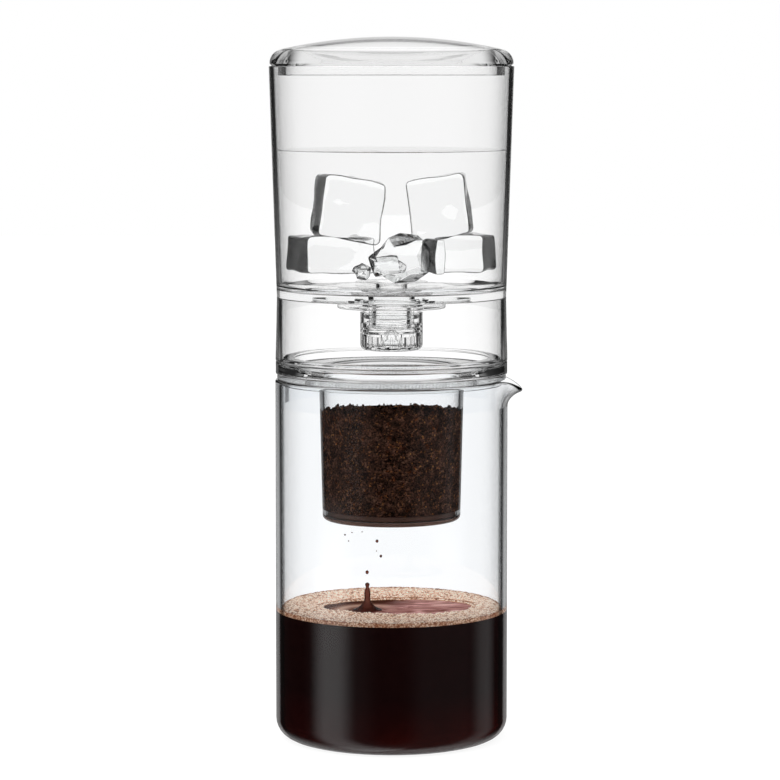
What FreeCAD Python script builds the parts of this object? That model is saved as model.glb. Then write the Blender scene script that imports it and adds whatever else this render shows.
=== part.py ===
"""Cold brew drip maker: a glass carafe, a coffee container with a steel filter hanging in its mouth,
a water tank with a needle valve standing on the container, and a domed lid.

Millimetres, +Z up. The origin is the centre of the carafe's foot, and the spout points along +X.
Each function makes one piece, and main() writes one STEP file for each node.
"""

import FreeCAD
import Part
import math
import os

Vector = FreeCAD.Vector
UP = Vector(0, 0, 1)
ORIGIN = Vector(0, 0, 0)

# Glass carafe
CARAFE_RADIUS = 48.2          # outside
CARAFE_WALL = 2.4
CARAFE_FLOOR = 3.0
CARAFE_HEIGHT = 150.0
CARAFE_FOOT_ROUND = 8.0       # outside corner between wall and foot
CARAFE_INNER_ROUND = 6.0      # inside corner
CARAFE_RIM_ROUND = 1.0        # fire-polished rim

# Pouring lip, drawn out of the carafe's rim
SPOUT_REACH = 6.3             # tip beyond the wall
SPOUT_HALF_ANGLE = 27.0       # degrees of the rim on each side
SPOUT_DEPTH = 11.0            # where the lip starts, below the rim
SPOUT_CURL = 4.2              # height of the bend
SPOUT_RISE = 1.5              # climb from the bend to the tip
SPOUT_SINK = 0.3              # how far the lip's edges lie inside the wall's face
SPOUT_WALL = 1.9              # glass under the channel
SPOUT_STEPS = 9               # sections up the lip
SPOUT_POINTS = 15             # points across a section
SPOUT_ROOT = 14.0             # depth of the lip's blank behind the wall's face
SPOUT_TIP_DROP = 3.8          # rim at the tip, below the rest of the rim
SPOUT_DROP_START = 0.5        # where the rim starts to fall, inside the wall's face
SPOUT_RIM_BULGE = 0.16        # of the falling rim's chord

# Silicone gasket between the carafe and the container
GASKET_FLANGE = 2.2           # thickness on the rim
GASKET_INSET = 0.8            # its edge inside the carafe's face
GASKET_LIP_DEPTH = 2.1        # lip below the rim
GASKET_LIP_CLEARANCE = 0.4    # lip to glass
GASKET_LIP_WALL = 1.7
GASKET_ROUND = 0.6

# Coffee container
RING_INSET = 0.2              # ring's edge inside the carafe's face
RING_HEIGHT = 5.6
RING_ROUND = 0.7
SPIGOT_SHORT = 0.5            # spigot ends this far above the gasket's lip
SPIGOT_WALL = 2.0
PLATE = 2.4                   # plate between the ring and the cup
PLATE_SINK = 2.6              # plate's top below the ring's top
LIP_HEIGHT = 1.5              # locating lip above the ring
LIP_WALL = 4.7
LIP_CLEARANCE = 0.4           # lip to the tank's skirt
CUP_TOP_RADIUS = 30.1         # outside, under the plate
CUP_TAPER = 1.5               # narrower at the foot
CUP_WALL = 1.8
CUP_DEPTH = 61.3              # below the plate
CUP_FLOOR = 1.6
CUP_FOOT_ROUND = 2.0
MOUTH_ROUND = 2.0
CORNER_ROUND = 1.0            # inside corners of the plate
GRID_LEDGE = 2.4              # cup's floor inside its wall, which carries the filter
GRID_BARS = 3                 # bars across the opening
GRID_BAR_WIDTH = 1.5
GRID_RING_INSET = 12.0        # ring that ties the bars, inside the ledge
GRID_OVERLAP = 1.0            # bars run into the floor's ring

# Steel filter and the ring that holds it down
FILTER_THICKNESS = 0.4
FILTER_CLEARANCE = 0.25       # edge to the cup
FILTER_HOLE_RADIUS = 0.6
FILTER_HOLE_PITCH = 2.7       # between rings of holes
FILTER_FIRST_RING_COUNT = 6   # holes in the first ring
FILTER_BORDER = 1.0           # plain steel inside the clamp ring
CLAMP_HEIGHT = 2.2
CLAMP_WALL = 1.8
CLAMP_ROUND = 0.4

# Water tank
SKIRT_OVERHANG = 0.1          # skirt's foot beyond the ring
SKIRT_WALL = 2.6
SKIRT_FLARE = 0.6             # wider at the foot than at the floor
SKIRT_DRAFT = 0.2             # narrower inside at the top
TANK_FLARE = 3.0              # wider at the rim than at the floor
TANK_WALL = 2.0
TANK_FLOOR = 2.7
TANK_DEPTH = 91.9             # floor to rim
TANK_INNER_ROUND = 4.0
TANK_EDGE_ROUND = 0.5

# Valve body, clamped through the tank's floor
BODY_WALL = 2.9               # bore to the thread's root
BODY_FLANGE_WIDTH = 4.85      # beyond the thread
BODY_FLANGE = 2.0
BODY_GASKET = 1.2
BODY_GASKET_INSET = 0.6
BODY_BELOW_FLOOR = 15.1       # tube below the floor
FLOOR_HOLE_CLEARANCE = 0.35   # hole to thread
THREAD_RADIUS = 10.15         # crest
THREAD_DEPTH = 0.75
THREAD_PITCH = 2.0
THREAD_ROOT_WIDTH = 1.1
THREAD_CREST_WIDTH = 0.5
THREAD_CLEARANCE = 0.25       # between male and female threads
THREAD_EMBED = 0.3            # ridge run into its wall
THREAD_RUNOUT = 0.5           # plain length beside a thread's end
SEAT_ORIFICE_RADIUS = 0.9
SEAT_FLARE = 1.7              # orifice to the cone's mouth
SEAT_CONE_DEPTH = 1.7
SEAT_LAND = 0.5               # straight part of the orifice

# Nut and washer under the floor
NUT_WIDTH = 12.25             # beyond the thread
NUT_HEIGHT = 2.8
NUT_ROUND = 0.8
NUT_WASHER = 1.6
WASHER_INSET = 0.5
WASHER_CLEARANCE = 0.25       # washers to the thread

# O-ring under the nut, which the knob's collar closes on
SEAL_SECTION_RADIUS = 1.0
SEAL_BELOW_NUT = 3.4
SEAL_SQUEEZE = 0.15           # gap to the collar

# Valve knob, screwed on the tube
KNOB_WALL = 1.35              # round the collar's bore
KNOB_SHUT_GAP = 1.0           # nut to knob when the valve is shut
KNOB_COLLAR_SPARE = 1.4       # collar's bore below the O-ring when the valve is shut
KNOB_CHAMBER = 5.2            # tube's foot to the knob's floor at rest
KNOB_FLOOR = 2.0
KNOB_ABOVE_RING = 4.1         # knob's foot above the container's ring
KNOB_FOOT_ROUND = 2.6
KNOB_EDGE_ROUND = 0.3
KNOB_RIBS = 12
KNOB_RIB_WIDTH = 0.9
KNOB_RIB_DEPTH = 1.5
KNOB_RIB_GAP = 0.7            # ribs to the tube when the valve is shut
KNOB_SLOTS = 6                # drip slots in the floor
KNOB_SLOT_WIDTH = 1.3
KNOB_SLOT_INSET = 0.8         # slot's end inside the knob's bore
KNOB_SLOT_LENGTH = 4.4
SOCKET_WALL = 1.2
SOCKET_HEIGHT = 2.0
KNOB_FLUTES = 24              # shallow grip flutes round the foot
KNOB_FLUTE_RADIUS = 0.9
KNOB_FLUTE_DEPTH = 0.35
KNOB_FLUTE_HEIGHT = 6.4

# Silicone plug that the knob lifts to the seat
PLUG_LEDGE = 0.4              # stem beyond the cone
PLUG_SOCKET_CLEARANCE = 0.05
PLUG_CLOSING_TRAVEL = 0.5     # axial gap to the seat at rest
PLUG_SEAT_CLEARANCE = 0.06    # left when the valve is shut
PLUG_NOSE = 0.35              # flat at the cone's tip
PLUG_SHOULDER = 0.5           # stem's top below the seat's mouth when shut

# Lid
LID_INSET = 0.4               # lid's edge inside the tank's face
LID_EDGE_UNDERCUT = 0.9
LID_EDGE_HEIGHT = 2.1         # straight part of the edge
LID_SHOULDER_WIDTH = 5.1      # edge to where the dome starts
LID_SHOULDER_HEIGHT = 7.0
LID_DOME_HEIGHT = 12.0        # seat to the top
LID_CROWN = 2.2               # thickness at the middle
LID_PLUG_GAP = 1.9            # plug to the tank's wall
LID_PLUG_DEPTH = 3.9
LID_PLUG_WALL = 3.1
LID_HAUNCH_WIDTH = 4.9        # plug to the inside corner under the shoulder
LID_HAUNCH_THICKNESS = 2.0
LID_HAUNCH_DROP = 4.2         # from the haunch down to the plug's bore
LID_SHOULDER_BULGE = 0.16     # of the shoulder's chord

# Heights where the pieces meet
GASKET_TOP = CARAFE_HEIGHT + GASKET_FLANGE
GASKET_LIP_FOOT = CARAFE_HEIGHT - GASKET_LIP_DEPTH
RING_TOP = GASKET_TOP + RING_HEIGHT
LIP_TOP = RING_TOP + LIP_HEIGHT
SPIGOT_FOOT = GASKET_LIP_FOOT + SPIGOT_SHORT
PLATE_TOP = RING_TOP - PLATE_SINK
PLATE_FOOT = PLATE_TOP - PLATE
CUP_FOOT = PLATE_FOOT - CUP_DEPTH
CUP_FLOOR_TOP = CUP_FOOT + CUP_FLOOR
FILTER_TOP = CUP_FLOOR_TOP + FILTER_THICKNESS
KNOB_FOOT = RING_TOP + KNOB_ABOVE_RING
KNOB_FLOOR_TOP = KNOB_FOOT + KNOB_FLOOR
BODY_FOOT = KNOB_FLOOR_TOP + KNOB_CHAMBER
TANK_UNDERSIDE = BODY_FOOT + BODY_BELOW_FLOOR
TANK_FLOOR_TOP = TANK_UNDERSIDE + TANK_FLOOR
TANK_RIM = TANK_FLOOR_TOP + TANK_DEPTH
BODY_FLANGE_FOOT = TANK_FLOOR_TOP + BODY_GASKET
BODY_TOP = BODY_FLANGE_FOOT + BODY_FLANGE
WASHER_FOOT = TANK_UNDERSIDE - NUT_WASHER
NUT_FOOT = WASHER_FOOT - NUT_HEIGHT
SEAL_HEIGHT = NUT_FOOT - SEAL_BELOW_NUT
SEAT_TOP = BODY_FOOT + SEAT_CONE_DEPTH
BODY_BORE_FOOT = SEAT_TOP + SEAT_LAND
KNOB_TOP = NUT_FOOT - KNOB_SHUT_GAP - PLUG_CLOSING_TRAVEL
KNOB_RIB_TOP = BODY_FOOT - KNOB_RIB_GAP - PLUG_CLOSING_TRAVEL
COLLAR_FOOT = SEAL_HEIGHT - SEAL_SECTION_RADIUS - KNOB_COLLAR_SPARE - PLUG_CLOSING_TRAVEL
PLUG_DROP = PLUG_CLOSING_TRAVEL + PLUG_SEAT_CLEARANCE

# Radii that fit together
CARAFE_BORE = CARAFE_RADIUS - CARAFE_WALL
GASKET_LIP_RADIUS = CARAFE_BORE - GASKET_LIP_CLEARANCE
SPIGOT_RADIUS = GASKET_LIP_RADIUS - GASKET_LIP_WALL
RING_RADIUS = CARAFE_RADIUS - RING_INSET
SKIRT_FOOT_RADIUS = RING_RADIUS + SKIRT_OVERHANG
SKIRT_BORE = SKIRT_FOOT_RADIUS - SKIRT_WALL
LIP_RADIUS = SKIRT_BORE - LIP_CLEARANCE
LIP_BORE = LIP_RADIUS - LIP_WALL
CUP_FOOT_RADIUS = CUP_TOP_RADIUS - CUP_TAPER
CUP_FOOT_BORE = CUP_FOOT_RADIUS - CUP_WALL
GRID_OPENING_RADIUS = CUP_FOOT_BORE - GRID_LEDGE
TANK_WAIST_RADIUS = SKIRT_FOOT_RADIUS - SKIRT_FLARE
TANK_TOP_RADIUS = TANK_WAIST_RADIUS + TANK_FLARE
TANK_TOP_BORE = TANK_TOP_RADIUS - TANK_WALL
TANK_WAIST_BORE = TANK_WAIST_RADIUS - TANK_WALL
FLOOR_HOLE = THREAD_RADIUS + FLOOR_HOLE_CLEARANCE
THREAD_ROOT = THREAD_RADIUS - THREAD_DEPTH
FEMALE_BORE = THREAD_RADIUS + THREAD_CLEARANCE
FEMALE_TIP = THREAD_ROOT + THREAD_CLEARANCE
BODY_BORE_RADIUS = THREAD_ROOT - BODY_WALL
BODY_FLANGE_RADIUS = THREAD_RADIUS + BODY_FLANGE_WIDTH
NUT_RADIUS = THREAD_RADIUS + NUT_WIDTH
FILTER_RADIUS = CUP_FOOT_BORE - FILTER_CLEARANCE
CLAMP_BORE = FILTER_RADIUS - CLAMP_WALL
SEAL_CENTRE_RADIUS = THREAD_ROOT + SEAL_SECTION_RADIUS
COLLAR_BORE = SEAL_CENTRE_RADIUS + SEAL_SECTION_RADIUS + SEAL_SQUEEZE
KNOB_RADIUS = COLLAR_BORE + KNOB_WALL
SEAT_MOUTH_RADIUS = SEAT_ORIFICE_RADIUS + SEAT_FLARE
PLUG_STEM_RADIUS = SEAT_MOUTH_RADIUS + PLUG_LEDGE
LID_RADIUS = TANK_TOP_RADIUS - LID_INSET
LID_PLUG_RADIUS = TANK_TOP_BORE - LID_PLUG_GAP
LID_PLUG_BORE = LID_PLUG_RADIUS - LID_PLUG_WALL


def corner_arc(before, corner, after, radius):
    """The two tangent points and the middle of the arc that rounds a corner."""
    back = (before - corner).normalize()
    ahead = (after - corner).normalize()
    half = back.getAngle(ahead) / 2
    reach = radius / math.tan(half)
    bisector = (back + ahead).normalize()
    centre = corner + bisector * (radius / math.sin(half))
    middle = centre - bisector * radius
    return corner + back * reach, middle, corner + ahead * reach


def outline(points):
    """A closed wire in the XZ plane through (radius, height) points. A third number rounds that corner."""
    places = [Vector(point[0], 0, point[1]) for point in points]
    rounds = [point[2] if len(point) > 2 else 0 for point in points]
    edges = []
    starts = []
    ends = []
    for index, corner in enumerate(places):
        if rounds[index] <= 0:
            starts.append(corner)
            ends.append(corner)
            edges.append(None)
            continue
        before = places[index - 1]
        after = places[(index + 1) % len(places)]
        start, middle, end = corner_arc(before, corner, after, rounds[index])
        starts.append(start)
        ends.append(end)
        edges.append(Part.Arc(start, middle, end).toShape())
    closed = []
    for index, arc in enumerate(edges):
        if arc is not None:
            closed.append(arc)
        following = starts[(index + 1) % len(places)]
        closed.append(Part.LineSegment(ends[index], following).toShape())
    return Part.Wire(closed)


def turned(points):
    """A solid of revolution about Z."""
    return Part.Face(outline(points)).revolve(ORIGIN, UP, 360)


def ring(inner, outer, foot, top, edge_round=0):
    """A flat ring with rounded outer edges."""
    return turned([(inner, foot), (outer, foot, edge_round), (outer, top, edge_round), (inner, top)])


def thread_ridge(wall_radius, tip_radius, foot, top):
    """A helical ridge between two heights, outwards on a tube or inwards in a bore.

    All threads follow one helix, and an inward ridge runs half a pitch from an outward one, in its groove.
    """
    inward = tip_radius < wall_radius
    root = wall_radius + THREAD_EMBED if inward else wall_radius - THREAD_EMBED
    base_half = THREAD_ROOT_WIDTH / 2
    tip_half = THREAD_CREST_WIDTH / 2
    start = foot + base_half
    section = Part.makePolygon([
        Vector(root, 0, start - base_half),
        Vector(tip_radius, 0, start - tip_half),
        Vector(tip_radius, 0, start + tip_half),
        Vector(root, 0, start + base_half),
        Vector(root, 0, start - base_half),
    ])
    path = Part.makeHelix(THREAD_PITCH, top - base_half - start, wall_radius)
    path.translate(Vector(0, 0, start))
    ridge = Part.Wire(path.Edges).makePipeShell([section], True, True)
    lead = start - BODY_FOOT + (THREAD_PITCH / 2 if inward else 0)
    ridge.rotate(ORIGIN, UP, 360 * lead / THREAD_PITCH)
    return ridge


def spout_profile(step, reach):
    """Reach and height above the lip's start of one section, from the wall to the tip."""
    turn = math.radians(90.0 * step / (SPOUT_STEPS - 1))
    out = 1 - math.cos(turn)
    return reach * out, SPOUT_CURL * math.sin(turn) + SPOUT_RISE * out


def spout_section(wall_radius, reach, height):
    """A closed wire across the lip at one height: a bulge in front, and a straight back in the wall."""
    half = math.radians(SPOUT_HALF_ANGLE)
    front = []
    for index in range(SPOUT_POINTS):
        share = 2.0 * index / (SPOUT_POINTS - 1) - 1
        bulge = math.cos(math.pi / 2 * share) ** 2
        radius = wall_radius - SPOUT_SINK + (reach + SPOUT_SINK) * bulge
        front.append(Vector(radius * math.cos(half * share), radius * math.sin(half * share), height))
    curve = Part.BSplineCurve()
    curve.interpolate(front)
    back = wall_radius * math.cos(half) - SPOUT_ROOT
    side = front[-1].y
    right = Vector(back, -side, height)
    left = Vector(back, side, height)
    edges = [
        curve.toShape(),
        Part.LineSegment(front[-1], left).toShape(),
        Part.LineSegment(left, right).toShape(),
        Part.LineSegment(right, front[0]).toShape(),
    ]
    return Part.Wire(edges)


def spout_blank(wall_radius, reach, start, top):
    """A solid under a curled lip, from its start on the wall to above the rim."""
    sections = []
    for step in range(SPOUT_STEPS):
        out, up = spout_profile(step, reach)
        sections.append(spout_section(wall_radius, out, start + up))
    sections.append(spout_section(wall_radius, reach, top))
    return Part.makeLoft(sections, True, True)


def rim_cutter():
    """What lies above the rim: level over the beaker, and falling in an arc to the tip of the lip."""
    start = Vector(CARAFE_RADIUS - SPOUT_DROP_START, 0, CARAFE_HEIGHT)
    tip = Vector(CARAFE_RADIUS + SPOUT_REACH, 0, CARAFE_HEIGHT - SPOUT_TIP_DROP)
    chord = tip - start
    normal = Vector(-chord.z, 0, chord.x).normalize()
    middle = (start + tip) * 0.5 + normal * (chord.Length * SPOUT_RIM_BULGE)
    above = CARAFE_HEIGHT + SPOUT_DEPTH
    beyond = tip.x + SPOUT_REACH
    corners = [
        tip, Vector(tip.x, 0, tip.z - SPOUT_DEPTH), Vector(beyond, 0, tip.z - SPOUT_DEPTH),
        Vector(beyond, 0, above), Vector(0, 0, above), Vector(0, 0, CARAFE_HEIGHT), start,
    ]
    sides = [Part.LineSegment(a, b).toShape() for a, b in zip(corners, corners[1:])]
    face = Part.Face(Part.Wire([Part.Arc(start, middle, tip).toShape()] + sides))
    face.translate(Vector(0, -CARAFE_RADIUS, 0))
    return face.extrude(Vector(0, 2 * CARAFE_RADIUS, 0))


def carafe():
    """Borosilicate beaker with a rounded foot and a lip drawn out of its rim."""
    start = CARAFE_HEIGHT - SPOUT_DEPTH
    above = CARAFE_HEIGHT + SPOUT_DEPTH
    beaker = turned([
        (0, 0), (CARAFE_RADIUS, 0, CARAFE_FOOT_ROUND),
        (CARAFE_RADIUS, CARAFE_HEIGHT, CARAFE_RIM_ROUND), (CARAFE_BORE, CARAFE_HEIGHT, CARAFE_RIM_ROUND),
        (CARAFE_BORE, CARAFE_FLOOR, CARAFE_INNER_ROUND), (0, CARAFE_FLOOR),
    ])
    glass = beaker.fuse(spout_blank(CARAFE_RADIUS, SPOUT_REACH, start, above))
    hollow = Part.makeCylinder(CARAFE_BORE, CARAFE_HEIGHT, Vector(0, 0, CARAFE_FLOOR + CARAFE_INNER_ROUND))
    channel_reach = SPOUT_REACH + 2 * CARAFE_WALL
    channel = spout_blank(CARAFE_BORE, channel_reach, start + SPOUT_WALL, above + SPOUT_WALL)
    return glass.cut(hollow).cut(channel).cut(rim_cutter())


def carafe_gasket():
    """Angle-section silicone ring: a flange on the glass rim, and a lip inside the mouth."""
    flange_radius = CARAFE_RADIUS - GASKET_INSET
    return turned([
        (SPIGOT_RADIUS, GASKET_LIP_FOOT), (GASKET_LIP_RADIUS, GASKET_LIP_FOOT, GASKET_ROUND),
        (GASKET_LIP_RADIUS, CARAFE_HEIGHT), (flange_radius, CARAFE_HEIGHT, GASKET_ROUND),
        (flange_radius, GASKET_TOP), (SPIGOT_RADIUS, GASKET_TOP),
    ])


def filter_grid():
    """Bars and a ring across the hole in the cup's floor."""
    span = 2 * (GRID_OPENING_RADIUS + GRID_OVERLAP)
    half_bar = GRID_BAR_WIDTH / 2
    bars = []
    for index in range(GRID_BARS):
        bar = Part.makeBox(span, GRID_BAR_WIDTH, CUP_FLOOR, Vector(-span / 2, -half_bar, CUP_FOOT))
        bar.rotate(ORIGIN, UP, 180.0 * index / GRID_BARS)
        bars.append(bar)
    tie_radius = GRID_OPENING_RADIUS - GRID_RING_INSET
    tie = ring(tie_radius - half_bar, tie_radius + half_bar, CUP_FOOT, CUP_FLOOR_TOP)
    return tie.multiFuse(bars)


def coffee_container():
    """Ring that seats on the gasket, with a locating lip, and a plate from which the cup hangs."""
    spigot_bore = SPIGOT_RADIUS - SPIGOT_WALL
    shell = turned([
        (GRID_OPENING_RADIUS, CUP_FOOT), (CUP_FOOT_RADIUS, CUP_FOOT, CUP_FOOT_ROUND),
        (CUP_TOP_RADIUS, PLATE_FOOT, CORNER_ROUND), (spigot_bore, PLATE_FOOT, CORNER_ROUND),
        (spigot_bore, SPIGOT_FOOT), (SPIGOT_RADIUS, SPIGOT_FOOT, RING_ROUND),
        (SPIGOT_RADIUS, GASKET_TOP), (RING_RADIUS, GASKET_TOP, RING_ROUND),
        (RING_RADIUS, RING_TOP, RING_ROUND), (LIP_RADIUS, RING_TOP),
        (LIP_RADIUS, LIP_TOP, RING_ROUND), (LIP_BORE, LIP_TOP, RING_ROUND),
        (LIP_BORE, PLATE_TOP, CORNER_ROUND), (CUP_TOP_RADIUS - CUP_WALL, PLATE_TOP, MOUTH_ROUND),
        (CUP_FOOT_BORE, CUP_FLOOR_TOP), (GRID_OPENING_RADIUS, CUP_FLOOR_TOP),
    ])
    return shell.fuse(filter_grid())


def filter_mesh():
    """Etched steel disc on the grid, with rings of holes."""
    disc = Part.makeCylinder(FILTER_RADIUS, FILTER_THICKNESS, Vector(0, 0, CUP_FLOOR_TOP))
    depth = 3 * FILTER_THICKNESS
    foot = CUP_FLOOR_TOP - FILTER_THICKNESS
    holes = [Part.makeCylinder(FILTER_HOLE_RADIUS, depth, Vector(0, 0, foot))]
    rows = int((CLAMP_BORE - FILTER_BORDER - FILTER_HOLE_RADIUS) / FILTER_HOLE_PITCH)
    for row in range(1, rows + 1):
        count = FILTER_FIRST_RING_COUNT * row
        for index in range(count):
            hole = Part.makeCylinder(FILTER_HOLE_RADIUS, depth, Vector(FILTER_HOLE_PITCH * row, 0, foot))
            hole.rotate(ORIGIN, UP, 360.0 * index / count)
            holes.append(hole)
    return disc.cut(Part.makeCompound(holes))


def filter_clamp_ring():
    """Snap ring that holds the filter's edge down."""
    return ring(CLAMP_BORE, FILTER_RADIUS, FILTER_TOP, FILTER_TOP + CLAMP_HEIGHT, CLAMP_ROUND)


def water_tank():
    """Clear tank that narrows to its floor, with a skirt below that widens to its foot."""
    return turned([
        (SKIRT_BORE, RING_TOP, TANK_EDGE_ROUND), (SKIRT_FOOT_RADIUS, RING_TOP, TANK_EDGE_ROUND),
        (TANK_WAIST_RADIUS, TANK_UNDERSIDE), (TANK_TOP_RADIUS, TANK_RIM, TANK_EDGE_ROUND),
        (TANK_TOP_BORE, TANK_RIM, TANK_EDGE_ROUND), (TANK_WAIST_BORE, TANK_FLOOR_TOP, TANK_INNER_ROUND),
        (FLOOR_HOLE, TANK_FLOOR_TOP), (FLOOR_HOLE, TANK_UNDERSIDE),
        (SKIRT_BORE - SKIRT_DRAFT, TANK_UNDERSIDE, TANK_EDGE_ROUND),
    ])


def valve_body():
    """Flanged tube through the tank's floor, with two threads outside and a conical seat in its foot."""
    tube = turned([
        (BODY_BORE_RADIUS, BODY_BORE_FOOT), (BODY_BORE_RADIUS, BODY_TOP),
        (BODY_FLANGE_RADIUS, BODY_TOP, TANK_EDGE_ROUND), (BODY_FLANGE_RADIUS, BODY_FLANGE_FOOT),
        (THREAD_ROOT, BODY_FLANGE_FOOT), (THREAD_ROOT, BODY_FOOT), (SEAT_MOUTH_RADIUS, BODY_FOOT),
        (SEAT_ORIFICE_RADIUS, SEAT_TOP), (SEAT_ORIFICE_RADIUS, BODY_BORE_FOOT),
    ])
    neck_foot = SEAL_HEIGHT - SEAL_SECTION_RADIUS - THREAD_RUNOUT
    tube = tube.fuse(thread_ridge(THREAD_ROOT, THREAD_RADIUS, BODY_FOOT + THREAD_RUNOUT, neck_foot))
    return tube.fuse(thread_ridge(THREAD_ROOT, THREAD_RADIUS, NUT_FOOT, BODY_FLANGE_FOOT - THREAD_RUNOUT))


def body_gasket():
    """Silicone washer between the valve body's flange and the tank's floor."""
    return ring(THREAD_RADIUS + WASHER_CLEARANCE, BODY_FLANGE_RADIUS - BODY_GASKET_INSET,
                TANK_FLOOR_TOP, BODY_FLANGE_FOOT)


def nut_washer():
    """Silicone washer between the tank's floor and the nut."""
    return ring(THREAD_RADIUS + WASHER_CLEARANCE, NUT_RADIUS - WASHER_INSET, WASHER_FOOT, TANK_UNDERSIDE)


def clamp_nut():
    """Thin round nut that pulls the valve body down on the floor."""
    disc = turned([
        (FEMALE_BORE, NUT_FOOT), (NUT_RADIUS, NUT_FOOT, NUT_ROUND),
        (NUT_RADIUS, WASHER_FOOT), (FEMALE_BORE, WASHER_FOOT),
    ])
    return disc.fuse(thread_ridge(FEMALE_BORE, FEMALE_TIP, NUT_FOOT, WASHER_FOOT))


def knob_seal():
    """O-ring round the tube, inside the knob's collar."""
    return Part.makeTorus(SEAL_CENTRE_RADIUS, SEAL_SECTION_RADIUS, Vector(0, 0, SEAL_HEIGHT))


def valve_plug():
    """Silicone plug: a stem in the knob's socket, and a cone that closes the seat."""
    slope = SEAT_FLARE / SEAT_CONE_DEPTH
    cone_foot = BODY_FOOT - PLUG_DROP
    nose = cone_foot + (SEAT_MOUTH_RADIUS - PLUG_NOSE) / slope
    shoulder = cone_foot - PLUG_SHOULDER
    return turned([
        (0, KNOB_FLOOR_TOP), (PLUG_STEM_RADIUS, KNOB_FLOOR_TOP), (PLUG_STEM_RADIUS, shoulder),
        (SEAT_MOUTH_RADIUS, shoulder), (SEAT_MOUTH_RADIUS, cone_foot), (PLUG_NOSE, nose), (0, nose),
    ])


def knob_ribs():
    """Short ribs inside the knob, round the foot of its bore."""
    inner = FEMALE_BORE - KNOB_RIB_DEPTH
    length = KNOB_RIB_DEPTH + THREAD_EMBED
    corner = Vector(inner, -KNOB_RIB_WIDTH / 2, KNOB_FLOOR_TOP)
    ribs = []
    for index in range(KNOB_RIBS):
        rib = Part.makeBox(length, KNOB_RIB_WIDTH, KNOB_RIB_TOP - KNOB_FLOOR_TOP, corner)
        rib.rotate(ORIGIN, UP, 360.0 * index / KNOB_RIBS)
        ribs.append(rib)
    return ribs


def knob_cuts():
    """Drip slots through the knob's floor, and grip flutes round its foot."""
    below = KNOB_FOOT - KNOB_FLOOR
    slot_start = FEMALE_BORE - KNOB_SLOT_INSET - KNOB_SLOT_LENGTH
    corner = Vector(slot_start, -KNOB_SLOT_WIDTH / 2, below)
    half_rib_step = 180.0 / KNOB_RIBS
    cuts = []
    for index in range(KNOB_SLOTS):
        slot = Part.makeBox(KNOB_SLOT_LENGTH, KNOB_SLOT_WIDTH, 3 * KNOB_FLOOR, corner)
        slot.rotate(ORIGIN, UP, 360.0 * index / KNOB_SLOTS + half_rib_step)
        cuts.append(slot)
    reach = KNOB_RADIUS + KNOB_FLUTE_RADIUS - KNOB_FLUTE_DEPTH
    flute_length = KNOB_FLUTE_HEIGHT + KNOB_FLOOR
    for index in range(KNOB_FLUTES):
        flute = Part.makeCylinder(KNOB_FLUTE_RADIUS, flute_length, Vector(reach, 0, below))
        flute.rotate(ORIGIN, UP, 360.0 * index / KNOB_FLUTES)
        cuts.append(flute)
    return Part.makeCompound(cuts)


def valve_knob():
    """Clear cap on the tube: collar over the O-ring, inner thread, ribs, plug socket and drip slots."""
    cap = turned([
        (0, KNOB_FOOT), (KNOB_RADIUS, KNOB_FOOT, KNOB_FOOT_ROUND),
        (KNOB_RADIUS, KNOB_TOP, KNOB_EDGE_ROUND), (COLLAR_BORE, KNOB_TOP, KNOB_EDGE_ROUND),
        (COLLAR_BORE, COLLAR_FOOT), (FEMALE_BORE, COLLAR_FOOT),
        (FEMALE_BORE, KNOB_FLOOR_TOP), (0, KNOB_FLOOR_TOP),
    ])
    socket_bore = PLUG_STEM_RADIUS + PLUG_SOCKET_CLEARANCE
    socket = ring(socket_bore, socket_bore + SOCKET_WALL, KNOB_FLOOR_TOP, KNOB_FLOOR_TOP + SOCKET_HEIGHT)
    thread = thread_ridge(FEMALE_BORE, FEMALE_TIP, KNOB_RIB_TOP + THREAD_RUNOUT, COLLAR_FOOT)
    return cap.multiFuse([socket, thread] + knob_ribs()).cut(knob_cuts())


def polyline(points):
    """Straight edges from point to point."""
    return [Part.LineSegment(a, b).toShape() for a, b in zip(points, points[1:])]


def dome_arc(rim, crown):
    """Arc from the rim up to the axis, level at the axis."""
    rise = crown.z - rim.z
    radius = (rim.x ** 2 + rise ** 2) / (2 * rise)
    angle = math.asin(rim.x / radius) / 2
    middle = Vector(radius * math.sin(angle), 0, crown.z - radius + radius * math.cos(angle))
    return Part.Arc(rim, middle, crown).toShape()


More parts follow.
